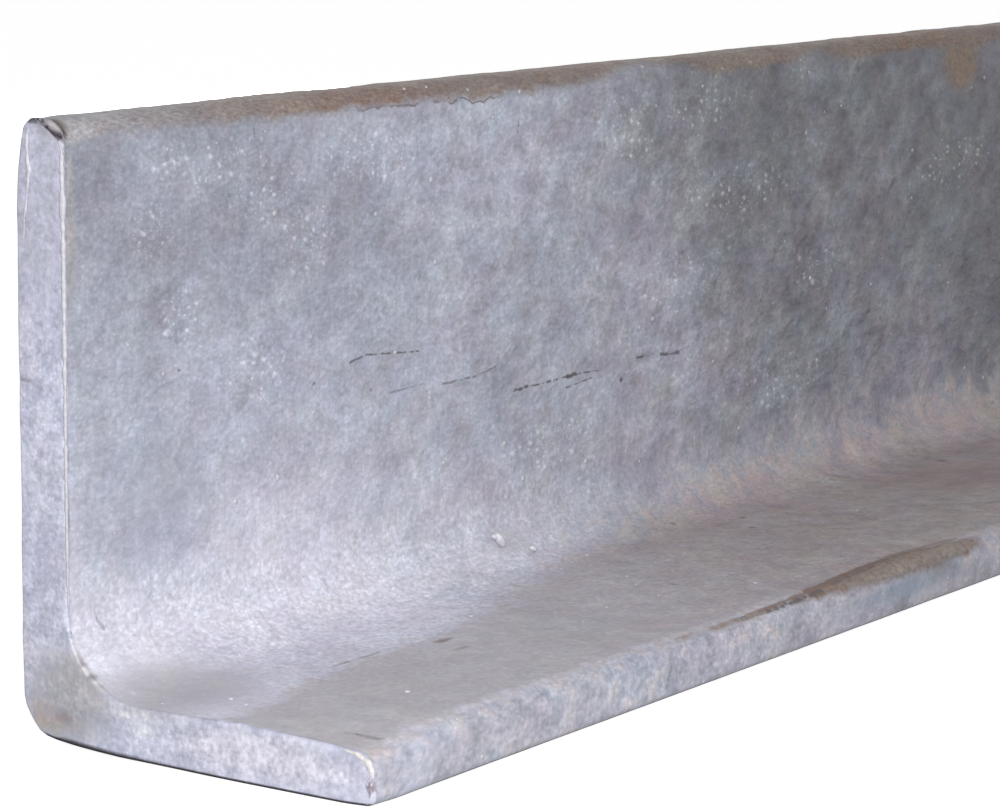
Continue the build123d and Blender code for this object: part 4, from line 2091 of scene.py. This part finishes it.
@dataclass(frozen=True)
class View:
    """The camera: where it stands, where it looks, and its long lens."""

    from_near_end: float = -544.6 * MM
    from_back: float = 488.1 * MM
    height: float = 188.7 * MM
    yaw: float = 34.26
    pitch: float = 9.30
    roll: float = 0.42
    focal_pixels: float = 3670.0
    frame_pixels: float = 1000.0
    sensor: float = 36.0

    def place(self, datum: Datum) -> None:
        """Set the scene's camera.

        Args:
            datum: what its place is measured from.
        """
        data = bpy.data.cameras.new("camera")
        data.sensor_width = self.sensor
        data.lens = self.sensor * self.focal_pixels / self.frame_pixels
        data.clip_start, data.clip_end = 0.01, 50.0
        yaw, pitch, roll = (math.radians(v) for v in (self.yaw, self.pitch, self.roll))
        forward = Vector((math.cos(yaw) * math.cos(pitch), math.sin(yaw) * math.cos(pitch),
                          -math.sin(pitch)))
        right = Vector((math.sin(yaw), -math.cos(yaw), 0.0))
        up = right.cross(forward)
        rolled_right = right * math.cos(roll) + up * math.sin(roll)
        rolled_up = up * math.cos(roll) - right * math.sin(roll)
        turn = Matrix((rolled_right, rolled_up, -forward)).transposed()
        camera = shown("camera", data)
        where = Vector(datum.point(self.from_near_end, self.from_back, self.height))
        camera.matrix_world = Matrix.Translation(where) @ turn.to_4x4()
        bpy.context.scene.camera = camera


@dataclass(frozen=True)
class Lamp:
    """One soft rectangular lamp that is aimed at a point."""

    name: str
    place: Triple
    target: Triple
    size: float
    power: float
    mirrored: bool = True

    def light(self) -> None:
        """Put the lamp in the scene."""
        data = bpy.data.lights.new(self.name, "AREA")
        data.shape = "SQUARE"
        data.size = self.size
        data.energy = self.power
        lamp = shown(self.name, data)
        lamp.visible_glossy = self.mirrored
        aim = (Vector(self.target) - Vector(self.place)).to_track_quat("-Z", "Y")
        lamp.matrix_world = Matrix.Translation(self.place) @ aim.to_matrix().to_4x4()


@dataclass
class Studio:
    """The floor, the pale surroundings, the lamps and the camera."""

    floor_size: float = 6.0
    fill: float = 0.5
    lamps: list[Lamp] = field(default_factory=list)

    def build(self, datum: Datum) -> None:
        """Set up everything that isn't the bar.

        Args:
            datum: what the camera's place is measured from.
        """
        bpy.context.scene.view_settings.view_transform = "Standard"
        self._world()
        self._floor()
        for lamp in self.lamps:
            lamp.light()
        View().place(datum)

    def _seen(self, web: NodeWeb) -> tuple[Socket, Socket]:
        """Say which rays the camera or a reflection sees, and which go through glass.

        Args:
            web: the tree that asks.

        Returns:
            Both, as numbers from 0 to 1.
        """
        rays = web.node("ShaderNodeLightPath").outputs
        seen = web.math("MAXIMUM", rays["Is Camera Ray"], rays["Is Glossy Ray"])
        return seen, rays["Is Transmission Ray"]

    def _world(self) -> None:
        """Make the surroundings white to the camera and in reflections, and a plain fill elsewhere."""
        world = bpy.data.worlds.new("surroundings")
        bpy.context.scene.world = world
        world.use_nodes = True
        web = NodeWeb(world.node_tree)
        seen = web.math("MAXIMUM", *self._seen(web))
        web.feed(world.node_tree.nodes["Background"], {
            "Color": (*WHITE, 1.0), "Strength": web.ramp(seen, 0.0, 1.0, self.fill, 1.0)})

    def _floor(self) -> None:
        """Lay a pale floor that looks white where it is lit and keeps the bar's shadow."""
        half = self.floor_size / 2
        mesh = bpy.data.meshes.new("floor")
        mesh.from_pydata([(-half, -half, 0), (half, -half, 0), (half, half, 0), (-half, half, 0)], [],
                         [(0, 1, 2, 3)])
        floor = shown("floor", mesh)
        made = bpy.data.materials.new("pale_floor")
        made.use_nodes = True
        web = NodeWeb(made.node_tree)
        seen, _ = self._seen(web)
        web.feed(made.node_tree.nodes["Principled BSDF"], {
            "Base Color": (0.5, 0.5, 0.5, 1.0), "Roughness": 0.9, "Specular IOR Level": 0.0,
            "Emission Color": (*WHITE, 1.0), "Emission Strength": web.mul(seen, 0.84)})
        mesh.materials.append(made)


# --------------------------------------------------------------------------- the whole scene


def main() -> None:
    """Build the bar and its studio."""
    logging.basicConfig(level=logging.INFO, format="%(name)s: %(message)s")
    low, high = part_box(NODE)
    section = Section(back=high.y, height=high.z, width=high.y - low.y)
    datum = Datum(near=low.x, back=high.y)
    bar = AngleBar(section, BarSweep(length=high.x - low.x), datum)
    piece = bar.build(Zinc().material(datum))
    nodule_zinc = BareZinc("nodule_zinc", (0.56, 0.55, 0.58), (0.34, 0.34, 0.37)).material()
    # The pale fresh colour of the beads is partly a painted highlight on the toe's rounded edge.
    bead_zinc = BareZinc("bead_zinc", (0.60, 0.575, 0.57), (0.45, 0.445, 0.49)).material()
    pieces = [
        piece,
        NoduleField().build(piece, datum, nodule_zinc),
        CutBeads().build(datum, bead_zinc),
    ]
    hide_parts(NODE)
    for made in pieces:
        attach(made, BODY)
        log.info("%s: %d points, %d faces", made.name, len(made.data.vertices), len(made.data.polygons))
    studio = Studio(fill=0.30, lamps=[
        Lamp("key", (low.x - 0.50, -0.45, 0.30), (low.x + 0.10, 0.0, 0.06), 0.25, 6.6),
        Lamp("behind", (-low.x + 0.45, 1.1, 0.06), (0.05, high.y, 0.06), 0.5, 13.0, False),
    ])
    studio.build(datum)


if __name__ == "__main__":
    main()
